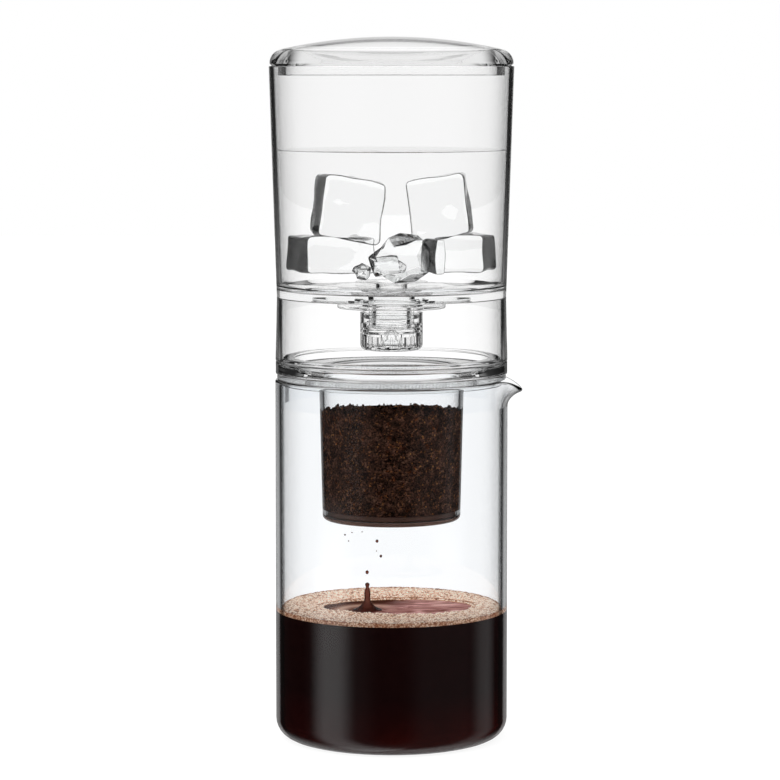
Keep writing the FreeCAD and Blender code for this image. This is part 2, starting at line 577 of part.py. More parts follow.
def lid():
    """Domed cover with a plug ring that drops into the tank's mouth."""
    plug_foot = TANK_RIM - LID_PLUG_DEPTH
    edge = Vector(LID_RADIUS, 0, TANK_RIM + LID_EDGE_HEIGHT)
    shoulder = Vector(LID_RADIUS - LID_SHOULDER_WIDTH, 0, TANK_RIM + LID_SHOULDER_HEIGHT)
    crown = Vector(0, 0, TANK_RIM + LID_DOME_HEIGHT)
    under_crown = crown - UP * LID_CROWN
    haunch = Vector(LID_PLUG_BORE - LID_HAUNCH_WIDTH, 0, shoulder.z - LID_HAUNCH_THICKNESS)
    chord = shoulder - edge
    outward = Vector(chord.z, 0, -chord.x).normalize()
    bulge = (edge + shoulder) * 0.5 + outward * (chord.Length * LID_SHOULDER_BULGE)
    underside = polyline([
        haunch, Vector(LID_PLUG_BORE, 0, haunch.z - LID_HAUNCH_DROP), Vector(LID_PLUG_BORE, 0, plug_foot),
        Vector(LID_PLUG_RADIUS, 0, plug_foot), Vector(LID_PLUG_RADIUS, 0, TANK_RIM),
        Vector(LID_RADIUS - LID_EDGE_UNDERCUT, 0, TANK_RIM),
        Vector(LID_RADIUS, 0, TANK_RIM + LID_EDGE_UNDERCUT), edge,
    ])
    top = [Part.Arc(edge, bulge, shoulder).toShape(), dome_arc(shoulder, crown)]
    axis = [Part.LineSegment(crown, under_crown).toShape(), dome_arc(haunch, under_crown)]
    wire = Part.Wire(Part.__sortEdges__(underside + top + axis))
    return Part.Face(wire).revolve(ORIGIN, UP, 360)


PIECES = {
    "carafe": carafe,
    "carafe_gasket": carafe_gasket,
    "coffee_container": coffee_container,
    "filter_mesh": filter_mesh,
    "filter_clamp_ring": filter_clamp_ring,
    "water_tank": water_tank,
    "valve_body": valve_body,
    "valve_body_gasket": body_gasket,
    "clamp_nut_washer": nut_washer,
    "clamp_nut": clamp_nut,
    "knob_o_ring": knob_seal,
    "valve_plug": valve_plug,
    "valve_knob": valve_knob,
    "lid": lid,
}


def main():
    """Makes every piece and writes it to parts/."""
    os.makedirs("parts", exist_ok=True)
    for name, make in PIECES.items():
        shape = make()
        box = shape.BoundBox
        print(f"{name}: {len(shape.Solids)} solid(s), valid {shape.isValid()}, "
              f"volume {shape.Volume:.1f}, z {box.ZMin:.2f} to {box.ZMax:.2f}")
        shape.exportStep(f"parts/{name}.step")


main()
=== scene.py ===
"""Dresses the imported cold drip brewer: its clear vessels, its drip valve, and the brew that stands in them.

Sizes are in millimetres until a mesh is made. Each sub-assembly is a class that builds and dresses its own
pieces, each finish is a small class that makes one material, and main() builds everything in order.
"""

import logging
import math
import random
from collections.abc import Callable, Mapping, Sequence
from dataclasses import dataclass
from enum import Enum
from functools import partial

import bpy
from mathutils import Matrix, Vector, noise


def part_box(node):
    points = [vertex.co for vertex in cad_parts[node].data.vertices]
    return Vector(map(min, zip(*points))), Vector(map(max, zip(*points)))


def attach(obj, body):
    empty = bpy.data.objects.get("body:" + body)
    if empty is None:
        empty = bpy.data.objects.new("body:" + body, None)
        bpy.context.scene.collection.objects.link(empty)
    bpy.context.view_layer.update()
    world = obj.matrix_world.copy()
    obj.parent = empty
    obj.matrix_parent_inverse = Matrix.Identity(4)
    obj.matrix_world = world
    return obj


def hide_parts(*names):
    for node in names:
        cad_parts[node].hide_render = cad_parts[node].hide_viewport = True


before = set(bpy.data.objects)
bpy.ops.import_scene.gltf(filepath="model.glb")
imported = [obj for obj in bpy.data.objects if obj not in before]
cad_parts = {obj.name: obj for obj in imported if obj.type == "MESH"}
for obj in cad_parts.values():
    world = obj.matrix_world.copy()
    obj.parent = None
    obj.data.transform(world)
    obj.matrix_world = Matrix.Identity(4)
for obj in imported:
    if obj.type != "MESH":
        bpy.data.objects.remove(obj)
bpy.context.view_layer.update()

MM = 0.001
WELD = 0.002                  # vertices nearer than this are one
TURN_STEPS = 192              # columns of a turned vessel
ARC_STEP = 12.0               # degrees of each chord of a rounded corner
SMOOTH_ANGLE = 32.0           # degrees, past which an edge stays crisp
TOUCH = 0.01                  # how near a level a vertex counts as on it
NEAR = 0.1                    # how near a level a face's centre counts as on it
LEVEL = 0.9                   # least height of a level face's normal
SLOPING = 0.5                 # least height of a sloping face's normal
INWARD = -0.6                 # a face of a bore looks away from the axis by less than this

Colour = tuple[float, float, float, float]
Profile = list[tuple[float, float]]
Socket = bpy.types.NodeSocket
log = logging.getLogger("brewer")


class Body(Enum):
    """The moving bodies that pieces ride on."""

    CARAFE = "carafe"
    CONTAINER = "coffee_container"
    TANK = "water_tank"
    PLUG = "valve_plug"
    KNOB = "valve_knob"
    LID = "lid"


class Slot(Enum):
    """The record's material slots, by which the valve's parts pick their finish."""

    GLASS = "borosilicate_glass"
    CLEAR = "clear_plastic"
    TANK = "tank_plastic"
    SILICONE = "silicone"


# ---------------------------------------------------------------- nodes

def linear(hex_colour: str) -> Colour:
    """Turns an sRGB hex colour into linear light.

    Args:
        hex_colour: six hex digits after a hash.

    Returns:
        Red, green, blue and an alpha of 1.
    """
    shares = [int(hex_colour[start:start + 2], 16) / 255 for start in (1, 3, 5)]
    light = [share / 12.92 if share <= 0.04045 else ((share + 0.055) / 1.055) ** 2.4 for share in shares]
    return light[0], light[1], light[2], 1.0


def per_mm(size: float) -> float:
    """Texture scale whose features are this many millimetres across."""
    return 1.0 / (size * MM)


def add_node(tree: bpy.types.NodeTree, kind: str, inputs: Mapping[str | int, object] | None = None,
             stops: Sequence[tuple[float, Colour]] = (), **settings: object) -> bpy.types.Node:
    """Adds a node, with its settings, values and links.

    Args:
        tree: the node tree that it joins.
        kind: the node's type name.
        inputs: input name or number to a value, or to the socket that is linked in.
        stops: a colour ramp's places and colours, two or more and in order.
        settings: the node's own properties.

    Returns:
        The new node.
    """
    node = tree.nodes.new(kind)
    for name, value in settings.items():
        setattr(node, name, value)
    for name, value in (inputs or {}).items():
        if isinstance(value, bpy.types.NodeSocket):
            tree.links.new(value, node.inputs[name])
        else:
            node.inputs[name].default_value = value
    if stops:
        elements = node.color_ramp.elements
        for _ in stops[len(elements):]:
            elements.new(1.0)
        for element, (place, colour) in zip(elements, stops):
            element.position = place
            element.color = colour
    return node


# ---------------------------------------------------------------- finishes

@dataclass(frozen=True)
class Finish:
    """A surface finish, which makes its material once."""

    name: str

    def shade(self, tree: bpy.types.NodeTree, place: Socket) -> Socket:
        """Builds the surface's nodes.

        Args:
            tree: the material's node tree.
            place: the shaded point's place on its piece.

        Returns:
            The surface's shader.
        """
        raise NotImplementedError

    def material(self) -> bpy.types.Material:
        """Makes the finish's material on its first use.

        Returns:
            The material, which all its pieces share.
        """
        found = bpy.data.materials.get(self.name)
        if found:
            return found
        material = bpy.data.materials.new(self.name)
        material.use_nodes = True
        tree = material.node_tree
        tree.nodes.clear()
        surface = self.shade(tree, add_node(tree, "ShaderNodeTexCoord").outputs["Object"])
        add_node(tree, "ShaderNodeOutputMaterial", {"Surface": surface})
        return material


@dataclass(frozen=True)
class ClearFinish(Finish):
    """Something that light passes through, with painted shade that darkens its walls where they turn away
    from the eye.
    """

    tint: str
    ior: float
    roughness: float
    edge: tuple[tuple[float, float], ...]    # (facing, share of the light let through), the walls' painted shade
    ripple_size: float                       # mm between the swells of the surface
    ripple_depth: float                      # mm
    gloss: str = "#FFFFFF"                   # share of the mirror reflection seen square on
    clear: float = 1.0                       # share that passes; the rest is body colour

    def shade(self, tree: bpy.types.NodeTree, place: Socket) -> Socket:
        """Transmission tinted with painted shade by how far the face turns away, over a faint swell.

        Args:
            tree: the material's node tree.
            place: the shaded point's place on its piece.

        Returns:
            The surface's shader.
        """
        # Painted shade: the tint darkens as each face turns from the eye, in place of the dark surroundings
        # that real walls mirror at a slant.
        facing = add_node(tree, "ShaderNodeLayerWeight", {"Blend": 0.5}).outputs["Facing"]
        red, green, blue, alpha = linear(self.tint)
        # The shader tints by the root of its colour at each face, so the share is squared.
        stops = [(turn, (red * share ** 2, green * share ** 2, blue * share ** 2, alpha))
                 for turn, share in self.edge]
        colour = add_node(tree, "ShaderNodeValToRGB", {"Fac": facing}, stops).outputs["Color"]
        swell = add_node(tree, "ShaderNodeTexNoise", {
            "Vector": place, "Scale": per_mm(self.ripple_size), "Detail": 1.0,
        }).outputs["Fac"]
        ripple = add_node(tree, "ShaderNodeBump", {"Height": swell, "Distance": self.ripple_depth * MM})
        shader = add_node(tree, "ShaderNodeBsdfPrincipled", {
            "Base Color": colour, "Roughness": self.roughness, "IOR": self.ior,
            "Transmission Weight": self.clear, "Specular Tint": linear(self.gloss),
            "Normal": ripple.outputs["Normal"],
        })
        return shader.outputs["BSDF"]


# Each edge is a painted shade: the share let through from square on (0) to edge on (1).
TANK_EDGE_SHADE = ((0.0, 1.0), (0.745, 1.0), (0.77, 0.5), (0.8, 0.28), (0.85, 0.35), (0.9, 0.5), (1.0, 0.9))
GLASS_EDGE_SHADE = ((0.0, 1.0), (0.61, 1.0), (0.63, 0.65), (0.65, 0.38), (0.71, 0.36), (0.735, 0.7), (0.76, 1.0),
              (1.0, 1.0))
SOFT_EDGE_SHADE = ((0.0, 1.0), (0.6, 1.0), (0.8, 0.85), (1.0, 0.95))
DOME_EDGE_SHADE = ((0.0, 1.0), (0.84, 1.0), (0.88, 0.75), (0.92, 0.5), (1.0, 0.45))
NO_EDGE = ((0.0, 1.0), (1.0, 1.0))
# Ice is painted dark on the faces that turn from the eye, and its grazed tops are painted pale again.
ICE_EDGE_SHADE = ((0.0, 1.0), (0.36, 0.98), (0.48, 0.3), (0.55, 0.08), (0.65, 0.07), (0.78, 0.14), (0.9, 0.4),
            (1.0, 0.85))

# Drawn borosilicate: smooth, faintly blue, with the long swell of drawn tube.
DRAWN_GLASS = ClearFinish(
    "borosilicate_glass_drawn", "#F9FBFD", 1.473, 0.0, GLASS_EDGE_SHADE, 40.0, 0.004)
# The faces inside a wall, which add no darkening of their own.
DRAWN_GLASS_INSIDE = ClearFinish(
    "borosilicate_glass_inside", "#FFFFFF", 1.473, 0.0, NO_EDGE, 40.0, 0.004, "#909090")
# The drawn lip, thinner and fire-polished.
LIP_GLASS = ClearFinish(
    "borosilicate_glass_lip", "#FBFCFD", 1.45, 0.0, SOFT_EDGE_SHADE, 40.0, 0.004, "#909090")
# Injection-moulded copolyester: polished tool, so glassy with a barely felt sink.
TANK_PLASTIC = ClearFinish(
    "copolyester_moulded_clear", "#FDFDFD", 1.49, 0.0, TANK_EDGE_SHADE, 30.0, 0.003, "#B0B0B0")
TANK_PLASTIC_INSIDE = ClearFinish(
    "copolyester_inside", "#FFFFFF", 1.49, 0.0, NO_EDGE, 30.0, 0.003, "#909090")
# The same plastic in small parts. It bends light less than the real one, so that their many walls stay clear.
SMALL_PLASTIC = ClearFinish(
    "copolyester_small_parts", "#FEFEFE", 1.28, 0.0, SOFT_EDGE_SHADE, 12.0, 0.003, "#707070")
# The lid's middle hardly bends the view, and its dome is painted grey as shade where it is grazed.
LID_PLASTIC = ClearFinish(
    "copolyester_lid", "#FEFEFE", 1.18, 0.0, SOFT_EDGE_SHADE, 20.0, 0.003, "#707070")
LID_DOME = ClearFinish(
    "copolyester_lid_dome", "#FEFEFE", 1.18, 0.0, DOME_EDGE_SHADE, 20.0, 0.003, "#707070")
# The small rounds of the lid's plug, tinted grey as painted shade, which draw thin grey lines.
LID_EDGE_SHADE = ClearFinish(
    "copolyester_lid_edge", "#C4C4C4", 1.18, 0.0, NO_EDGE, 20.0, 0.003, "#707070")
# The cup's foot, where brew has stained the plastic, and the film of brew that clings under it.
STAINED_PLASTIC = ClearFinish(
    "copolyester_brew_stained", "#4A362E", 1.3, 0.05, SOFT_EDGE_SHADE, 12.0, 0.003, "#303030")
BREW_FILM = ClearFinish(
    "copolyester_brew_film", "#7E645A", 1.3, 0.2, NO_EDGE, 12.0, 0.003, "#303030", 0.45)
# Silicone rubber, pressed thin: nearly clear, with a soft gloss.
SILICONE = ClearFinish(
    "silicone_rubber_pressed", "#FAFBFB", 1.2, 0.04, SOFT_EDGE_SHADE, 8.0, 0.01, "#A0A0A0")
# Polycarbonate from a blasted tool: it scatters what passes, and coffee has stained it.
FROSTED = ClearFinish(
    "polycarbonate_frosted", "#6E5248", 1.3, 0.35, NO_EDGE, 1.0, 0.02, "#303030", 0.25)
# The tank's floor under water, which bends light far less than it would in air.
WET_FLOOR = ClearFinish(
    "copolyester_under_water", "#FFFFFF", 1.12, 0.0, NO_EDGE, 9.0, 0.15)
# The still top of the water, with the faint swell of melting ice.
WATER = ClearFinish(
    "filtered_water", "#FCFDFD", 1.333, 0.0, NO_EDGE, 25.0, 0.01)
# Clear ice, melted round: its turned faces are painted dark as shade and its flats stay bright.
ICE = ClearFinish(
    "clear_ice_melting", "#FDFEFE", 1.31, 0.0, ICE_EDGE_SHADE, 6.0, 0.05, "#B0B0B0")


@dataclass(frozen=True)
class WetContact(Finish):
    """Where water wets a wall, or clear faces meet: nothing bends, and only a trace of tint is left."""

    tint: str = "#FEFEFE"

    def shade(self, tree: bpy.types.NodeTree, place: Socket) -> Socket:
        """Light passes straight, a trace dimmer."""
        return add_node(tree, "ShaderNodeBsdfTransparent", {"Color": linear(self.tint)}).outputs["BSDF"]


@dataclass(frozen=True)
class EtchedSteel(Finish):
    """Acid-etched stainless sheet: grey, with the fine satin that the bath leaves."""

    colour: str = "#B4B6B8"
    grain: float = 0.5            # mm, coarser than real so that it shows

    def shade(self, tree: bpy.types.NodeTree, place: Socket) -> Socket:
        """Metal with a grainy roughness.

        Args:
            tree: the material's node tree.
            place: the shaded point's place on its piece.

        Returns:
            The surface's shader.
        """
        grain = add_node(tree, "ShaderNodeTexNoise", {
            "Vector": place, "Scale": per_mm(self.grain), "Detail": 3.0,
        }).outputs["Fac"]
        roughness = add_node(tree, "ShaderNodeMapRange", {"Value": grain, "To Min": 0.28, "To Max": 0.45})
        pits = add_node(tree, "ShaderNodeBump", {"Height": grain, "Distance": 0.01 * MM})
        shader = add_node(tree, "ShaderNodeBsdfPrincipled", {
            "Base Color": linear(self.colour), "Metallic": 1.0, "Roughness": roughness.outputs["Result"],
            "Normal": pits.outputs["Normal"],
        })
        return shader.outputs["BSDF"]


@dataclass(frozen=True)
class WetGrounds(Finish):
    """Coarse-ground dark roast, wet through: nearly black, with brown chaff and a few bright flecks."""

    grain: float = 0.55           # mm across a particle
    clump: float = 4.5            # mm across a damp patch
    chip: float = 1.3             # mm across a chip of pale bean skin

    def shade(self, tree: bpy.types.NodeTree, place: Socket) -> Socket:
        """Cells of ground coffee, each with its own brown, over damp patches and among pale chips.

        Args:
            tree: the material's node tree.
            place: the shaded point's place on its piece.

        Returns:
            The surface's shader.
        """
        cells = add_node(tree, "ShaderNodeTexVoronoi", {"Vector": place, "Scale": per_mm(self.grain)})
        pick = add_node(tree, "ShaderNodeSeparateColor", {"Color": cells.outputs["Color"]}).outputs["Red"]
        patches = add_node(tree, "ShaderNodeTexNoise", {
            "Vector": place, "Scale": per_mm(self.clump), "Detail": 5.0, "Roughness": 0.7,
        }).outputs["Fac"]
        chips = add_node(tree, "ShaderNodeTexVoronoi", {"Vector": place, "Scale": per_mm(self.chip)})
        chip_pick = add_node(tree, "ShaderNodeSeparateColor", {
            "Color": chips.outputs["Color"],
        }).outputs["Green"]
        chaff = add_node(tree, "ShaderNodeValToRGB", {"Fac": pick}, [
            (0.0, linear("#2A1B15")), (0.35, linear("#4C362D")), (0.7, linear("#6C5044")),
            (0.93, linear("#8A6654")), (0.98, linear("#B0764A")), (1.0, linear("#CC925A")),
        ]).outputs["Color"]
        skins = add_node(tree, "ShaderNodeValToRGB", {"Fac": chip_pick}, [
            (0.0, linear("#FFFFFF")), (0.95, linear("#FFFFFF")), (1.0, linear("#FFC890")),
        ]).outputs["Color"]
        damp = add_node(tree, "ShaderNodeValToRGB", {"Fac": patches}, [
            (0.32, linear("#6E6462")), (0.5, linear("#BCB2AE")), (0.66, linear("#FFFAF6")),
        ]).outputs["Color"]
        toned = add_node(tree, "ShaderNodeMix", {0: 1.0, 6: chaff, 7: damp}, data_type="RGBA",
                         blend_type="MULTIPLY").outputs[2]
        colour = add_node(tree, "ShaderNodeMix", {0: 1.0, 6: toned, 7: skins}, data_type="RGBA",
                          blend_type="MULTIPLY").outputs[2]
        height = add_node(tree, "ShaderNodeMath", {0: cells.outputs["Distance"], 1: patches},
                          operation="ADD").outputs[0]
        crumbs = add_node(tree, "ShaderNodeBump", {"Height": height, "Distance": 0.3 * MM})
        shader = add_node(tree, "ShaderNodeBsdfPrincipled", {
            "Base Color": colour, "Roughness": 0.8, "Specular IOR Level": 0.0,
            "Normal": crumbs.outputs["Normal"],
        })
        return shader.outputs["BSDF"]


@dataclass(frozen=True)
class BrewedCoffee(Finish):
    """Strong cold brew in depth, where it wets the glass: black, with a red glow painted in low down, as
    light that comes through the brew near its foot.
    """

    body: str = "#1C0C0C"
    painted_red_glow: str = "#3A0E0A"
    red_from: float = 24.0        # mm above the foot, below which the painted red glow begins
    red_full: float = 4.0         # mm above the foot, where it is strongest

    def shade(self, tree: bpy.types.NodeTree, place: Socket) -> Socket:
        """Dark and without gloss, since the glass in front carries the reflections.

        Args:
            tree: the material's node tree.
            place: the shaded point's place on its piece.

        Returns:
            The surface's shader.
        """
        # Painted light: the red glow grows towards the foot, dappled by a broad cloud.
        height = add_node(tree, "ShaderNodeSeparateXYZ", {"Vector": place}).outputs["Z"]
        low = add_node(tree, "ShaderNodeMapRange", {
            "Value": height, "From Min": self.red_from * MM, "From Max": self.red_full * MM,
        }).outputs["Result"]
        cloud = add_node(tree, "ShaderNodeTexNoise", {
            "Vector": place, "Scale": per_mm(28.0), "Detail": 1.0,
        }).outputs["Fac"]
        red = add_node(tree, "ShaderNodeMath", {0: low, 1: cloud}, operation="MULTIPLY").outputs[0]
        colour = add_node(tree, "ShaderNodeMix", {0: red, 6: linear(self.body), 7: linear(self.painted_red_glow)},
                          data_type="RGBA").outputs[2]
        shader = add_node(tree, "ShaderNodeBsdfPrincipled", {
            "Base Color": colour, "Roughness": 0.4, "Specular IOR Level": 0.0,
        })
        return shader.outputs["BSDF"]


@dataclass(frozen=True)
class OpenBrew(Finish):
    """The open top of the brew: dark where it is clear, with its mirror gloss painted in as colour: pale
    highlights on ripple rings, pink streaks of oil sheen, and a faint glow.
    """

    clear: str = "#4A2A20"
    ripple: float = 3.4           # mm between ripples round the falling drops
    centre: tuple[float, float] = (-10.0, -6.0)
    streak: float = 4.0           # mm across a streak of oil
    oil_way: tuple[float, float, float] = (1.0, -0.5, 0.0)   # the oils drift right and forwards
    oil_from: float = -12.0       # mm along that way, where the oils begin and where they are thick
    oil_to: float = 9.0

    def shade(self, tree: bpy.types.NodeTree, place: Socket) -> Socket:
        """Painted highlights on rings about the drops on the left, painted sheen on streaks of oil on the
        right.

        Args:
            tree: the material's node tree.
            place: the shaded point's place on its piece.

        Returns:
            The surface's shader.
        """
        shifted = add_node(tree, "ShaderNodeMapping", {
            "Vector": place, "Location": (-self.centre[0] * MM, -self.centre[1] * MM, 0.0),
        }).outputs["Vector"]
        rings = add_node(tree, "ShaderNodeTexWave", {
            "Vector": shifted, "Scale": per_mm(self.ripple) / 20.0, "Distortion": 1.5, "Detail": 2.0,
            "Detail Scale": 0.4,
        }, wave_type="RINGS", rings_direction="Z").outputs["Fac"]
        stretched = add_node(tree, "ShaderNodeMapping", {
            "Vector": place, "Scale": (0.3, 1.0, 1.0),
        }).outputs["Vector"]
        streaks = add_node(tree, "ShaderNodeTexNoise", {
            "Vector": stretched, "Scale": per_mm(self.streak), "Detail": 4.0, "Distortion": 1.5,
        }).outputs["Fac"]
        across = add_node(tree, "ShaderNodeVectorMath", {0: place, 1: self.oil_way},
                          operation="DOT_PRODUCT").outputs["Value"]
        oil = add_node(tree, "ShaderNodeMapRange", {
            "Value": across, "From Min": self.oil_from * MM, "From Max": self.oil_to * MM,
        }, interpolation_type="SMOOTHSTEP").outputs["Result"]
        # Painted sheen: pale pink where oil streaks the top.
        oil_sheen_painted = add_node(tree, "ShaderNodeValToRGB", {"Fac": streaks}, [
            (0.3, linear("#7C4A42")), (0.5, linear("#B4807A")), (0.62, linear("#D4A29C")),
            (0.75, linear("#F0CCC2")),
        ]).outputs["Color"]
        # Painted highlights on the ripple rings, over the clear brew's dark.
        ripple_highlights_painted = add_node(tree, "ShaderNodeValToRGB", {"Fac": rings}, [
            (0.4, linear(self.clear)), (0.8, linear("#7A5244")), (1.0, linear("#C09A88")),
        ]).outputs["Color"]
        colour = add_node(tree, "ShaderNodeMix", {0: oil, 6: ripple_highlights_painted, 7: oil_sheen_painted}, data_type="RGBA").outputs[2]
        # No gloss of its own; a faint painted glow from its own colour.
        shader = add_node(tree, "ShaderNodeBsdfPrincipled", {
            "Base Color": colour, "Roughness": 0.15, "Specular IOR Level": 0.0,
            "Emission Color": colour, "Emission Strength": 0.3,
        })
        return shader.outputs["BSDF"]


@dataclass(frozen=True)
class Froth(Finish):
    """Something made of bubbles, with a painted glow in place of the light that creeps through it."""

    def painted_glow(self, tree: bpy.types.NodeTree, place: Socket) -> Socket:
        """Strength of the painted glow, most at the back, which stands against the light.

        Args:
            tree: the material's node tree.
            place: the shaded point's place on its piece.

        Returns:
            The strength.
        """
        depth = add_node(tree, "ShaderNodeSeparateXYZ", {"Vector": place}).outputs["Y"]
        return add_node(tree, "ShaderNodeMapRange", {
            "Value": depth, "From Min": -46.0 * MM, "From Max": 46.0 * MM, "To Min": 0.12, "To Max": 0.5,
        }).outputs["Result"]


@dataclass(frozen=True)
class BrewFoam(Froth):
    """Fine tan froth: closed bubbles with pale crowns and brown seams, each partly its own colour and partly
    painted highlight and shade.
    """

    bubble: float = 0.8           # mm across a bubble
    patch: float = 6.0            # mm across a darker patch

    def shade(self, tree: bpy.types.NodeTree, place: Socket) -> Socket:
        """Bubble cells, painted bright in the middle and brown between, as highlight and shade over the
        froth's own tones.

        Args:
            tree: the material's node tree.
            place: the shaded point's place on its piece.

        Returns:
            The surface's shader.
        """
        cells = add_node(tree, "ShaderNodeTexVoronoi", {"Vector": place, "Scale": per_mm(self.bubble)})
        patches = add_node(tree, "ShaderNodeTexNoise", {
            "Vector": place, "Scale": per_mm(self.patch), "Detail": 2.0,
        }).outputs["Fac"]
        # Painted highlight on each cell's crown and painted shade in its seams, over the froth's own tan and
        # brown.
        crowns = add_node(tree, "ShaderNodeValToRGB", {"Fac": cells.outputs["Distance"]}, [
            (0.0, linear("#FFF2E4")), (0.25, linear("#EED2BA")), (0.5, linear("#CC9E80")),
            (0.8, linear("#8E5C42")),
        ]).outputs["Color"]
        drift = add_node(tree, "ShaderNodeValToRGB", {"Fac": patches}, [
            (0.35, linear("#D4BCAE")), (0.6, linear("#FFFFFF")),
        ]).outputs["Color"]
        colour = add_node(tree, "ShaderNodeMix", {0: 1.0, 6: crowns, 7: drift}, data_type="RGBA",
                          blend_type="MULTIPLY").outputs[2]
        height = add_node(tree, "ShaderNodeMath", {0: 1.0, 1: cells.outputs["Distance"]},
                          operation="SUBTRACT").outputs[0]
        domes = add_node(tree, "ShaderNodeBump", {"Height": height, "Distance": 0.35 * MM})
        shader = add_node(tree, "ShaderNodeBsdfPrincipled", {
            "Base Color": colour, "Roughness": 0.4, "Specular IOR Level": 0.3,
            "Normal": domes.outputs["Normal"], "Emission Color": colour,
            "Emission Strength": self.painted_glow(tree, place),
        })
        return shader.outputs["BSDF"]


@dataclass(frozen=True)
class BubbleFilm(Froth):
    """The skin of a bubble on the froth: painted light on its crown, painted shade down to its brown foot."""

    crown: str = "#FFEEDC"
    middle: str = "#D8A888"
    foot: str = "#8A5638"
    spread: float = 1.6           # mm across which the tone wanders

    def shade(self, tree: bpy.types.NodeTree, place: Socket) -> Socket:
        """A pale glossy skin, painted brown as shade where it curves down.

        Args:
            tree: the material's node tree.
            place: the shaded point's place on its piece.

        Returns:
            The surface's shader.
        """
        # Painted light and shade: faces that look up are pale, faces that look down are brown.
        up = add_node(tree, "ShaderNodeNewGeometry").outputs["Normal"]
        level = add_node(tree, "ShaderNodeSeparateXYZ", {"Vector": up}).outputs["Z"]
        tone = add_node(tree, "ShaderNodeTexNoise", {
            "Vector": place, "Scale": per_mm(self.spread), "Detail": 1.0,
        }).outputs["Fac"]
        height = add_node(tree, "ShaderNodeMath", {0: level, 1: tone, 2: 0.12}, operation="MULTIPLY_ADD")
        colour = add_node(tree, "ShaderNodeValToRGB", {"Fac": height.outputs[0]}, [
            (0.06, linear(self.foot)), (0.28, linear(self.middle)), (0.55, linear(self.crown)),
        ]).outputs["Color"]
        shader = add_node(tree, "ShaderNodeBsdfPrincipled", {
            "Base Color": colour, "Roughness": 0.18, "Specular IOR Level": 0.5,
            "Emission Color": colour, "Emission Strength": self.painted_glow(tree, place),
        })
        return shader.outputs["BSDF"]


@dataclass(frozen=True)
class BrewDrop(Finish):
    """A falling drop of brew: brown in the middle, painted nearly black round its edge as shade."""

    heart: str = "#8E5648"
    body: str = "#5A2C22"
    edge: str = "#2A120D"

    def shade(self, tree: bpy.types.NodeTree, place: Socket) -> Socket:
        """Body colour, with painted shade darkest at the edge, and a little tinted transmission.

        Args:
            tree: the material's node tree.
            place: the shaded point's place on its piece.

        Returns:
            The surface's shader.
        """
        # Painted shade: the drop darkens as its faces turn from the eye.
        facing = add_node(tree, "ShaderNodeLayerWeight", {"Blend": 0.5}).outputs["Facing"]
        colour = add_node(tree, "ShaderNodeValToRGB", {"Fac": facing}, [
            (0.0, linear(self.heart)), (0.35, linear(self.body)), (0.8, linear(self.edge)),
        ]).outputs["Color"]
        shader = add_node(tree, "ShaderNodeBsdfPrincipled", {
            "Base Color": colour, "Roughness": 0.02, "IOR": 1.15, "Transmission Weight": 0.2,
            "Specular IOR Level": 0.1,
        })
        return shader.outputs["BSDF"]


WETTED = WetContact("filtered_water_against_wall")
STEEL = EtchedSteel("stainless_etched")
GROUNDS = WetGrounds("coffee_grounds_wet")
COFFEE = BrewedCoffee("cold_brew")
COFFEE_TOP = OpenBrew("cold_brew_open_top")
FOAM = BrewFoam("brew_foam")
BUBBLE = BubbleFilm("brew_bubble_film")
DROP = BrewDrop("brew_drop")


# ---------------------------------------------------------------- meshes

def deselect_all() -> None:
    """Leaves nothing selected, whatever the frame left."""
    for item in list(bpy.context.selected_objects):
        item.select_set(False)


def select_only(piece: bpy.types.Object) -> None:
    """Selects one object and makes it active.

    Args:
        piece: the object.
    """
    deselect_all()
    piece.select_set(True)
    bpy.context.view_layer.objects.active = piece


def new_piece(name: str, add: Callable[..., object], **sizes: object) -> bpy.types.Object:
    """Adds a primitive, which is a start for a piece.

    Args:
        name: the piece's name.
        add: the operator that adds it.
        sizes: the operator's sizes.

    Returns:
        The piece, selected and active.
    """
    deselect_all()
    add(**sizes)
    piece = bpy.context.active_object
    piece.name = name
    return piece


def edit_all(piece: bpy.types.Object) -> None:
    """Opens one piece for editing, with all of it selected.

    Args:
        piece: the piece.
    """
    select_only(piece)
    bpy.ops.object.mode_set(mode="EDIT")
    bpy.ops.mesh.select_all(action="SELECT")


def end_edit() -> None:
    """Closes the piece that is edited."""
    bpy.ops.object.mode_set(mode="OBJECT")


def rounded(points: Sequence[tuple[float, ...]]) -> Profile:
    """Rounds the corners of an outline.

    Args:
        points: (radius, height) points, with a third number where a corner is rounded.

    Returns:
        The outline's points, with each rounded corner as short chords.
    """
    places = [Vector(point[:2]) for point in points]
    outline: Profile = []
    for index, corner in enumerate(places):
        radius = points[index][2] if len(points[index]) > 2 else 0.0
        if radius <= 0:
            outline.append((corner.x, corner.y))
            continue
        before = (places[index - 1] - corner).normalized()
        after = (places[(index + 1) % len(places)] - corner).normalized()
        half = before.angle(after) / 2
        reach = radius / math.tan(half)
        centre = corner + (before + after).normalized() * (radius / math.sin(half))
        first = corner + before * reach - centre
        last = corner + after * reach - centre
        start = math.atan2(first.y, first.x)
        sweep = (math.atan2(last.y, last.x) - start + math.pi) % (2 * math.pi) - math.pi
        steps = max(2, math.ceil(math.degrees(abs(sweep)) / ARC_STEP))
        for step in range(steps + 1):
            angle = start + sweep * step / steps
            outline.append((centre.x + radius * math.cos(angle), centre.y + radius * math.sin(angle)))
    return outline


def run(start: tuple[float, float], end: tuple[float, float], steps: int) -> Profile:
    """Evenly spaced points from start to end, both included."""
    return [(start[0] + (end[0] - start[0]) * step / steps, start[1] + (end[1] - start[1]) * step / steps)
            for step in range(steps + 1)]


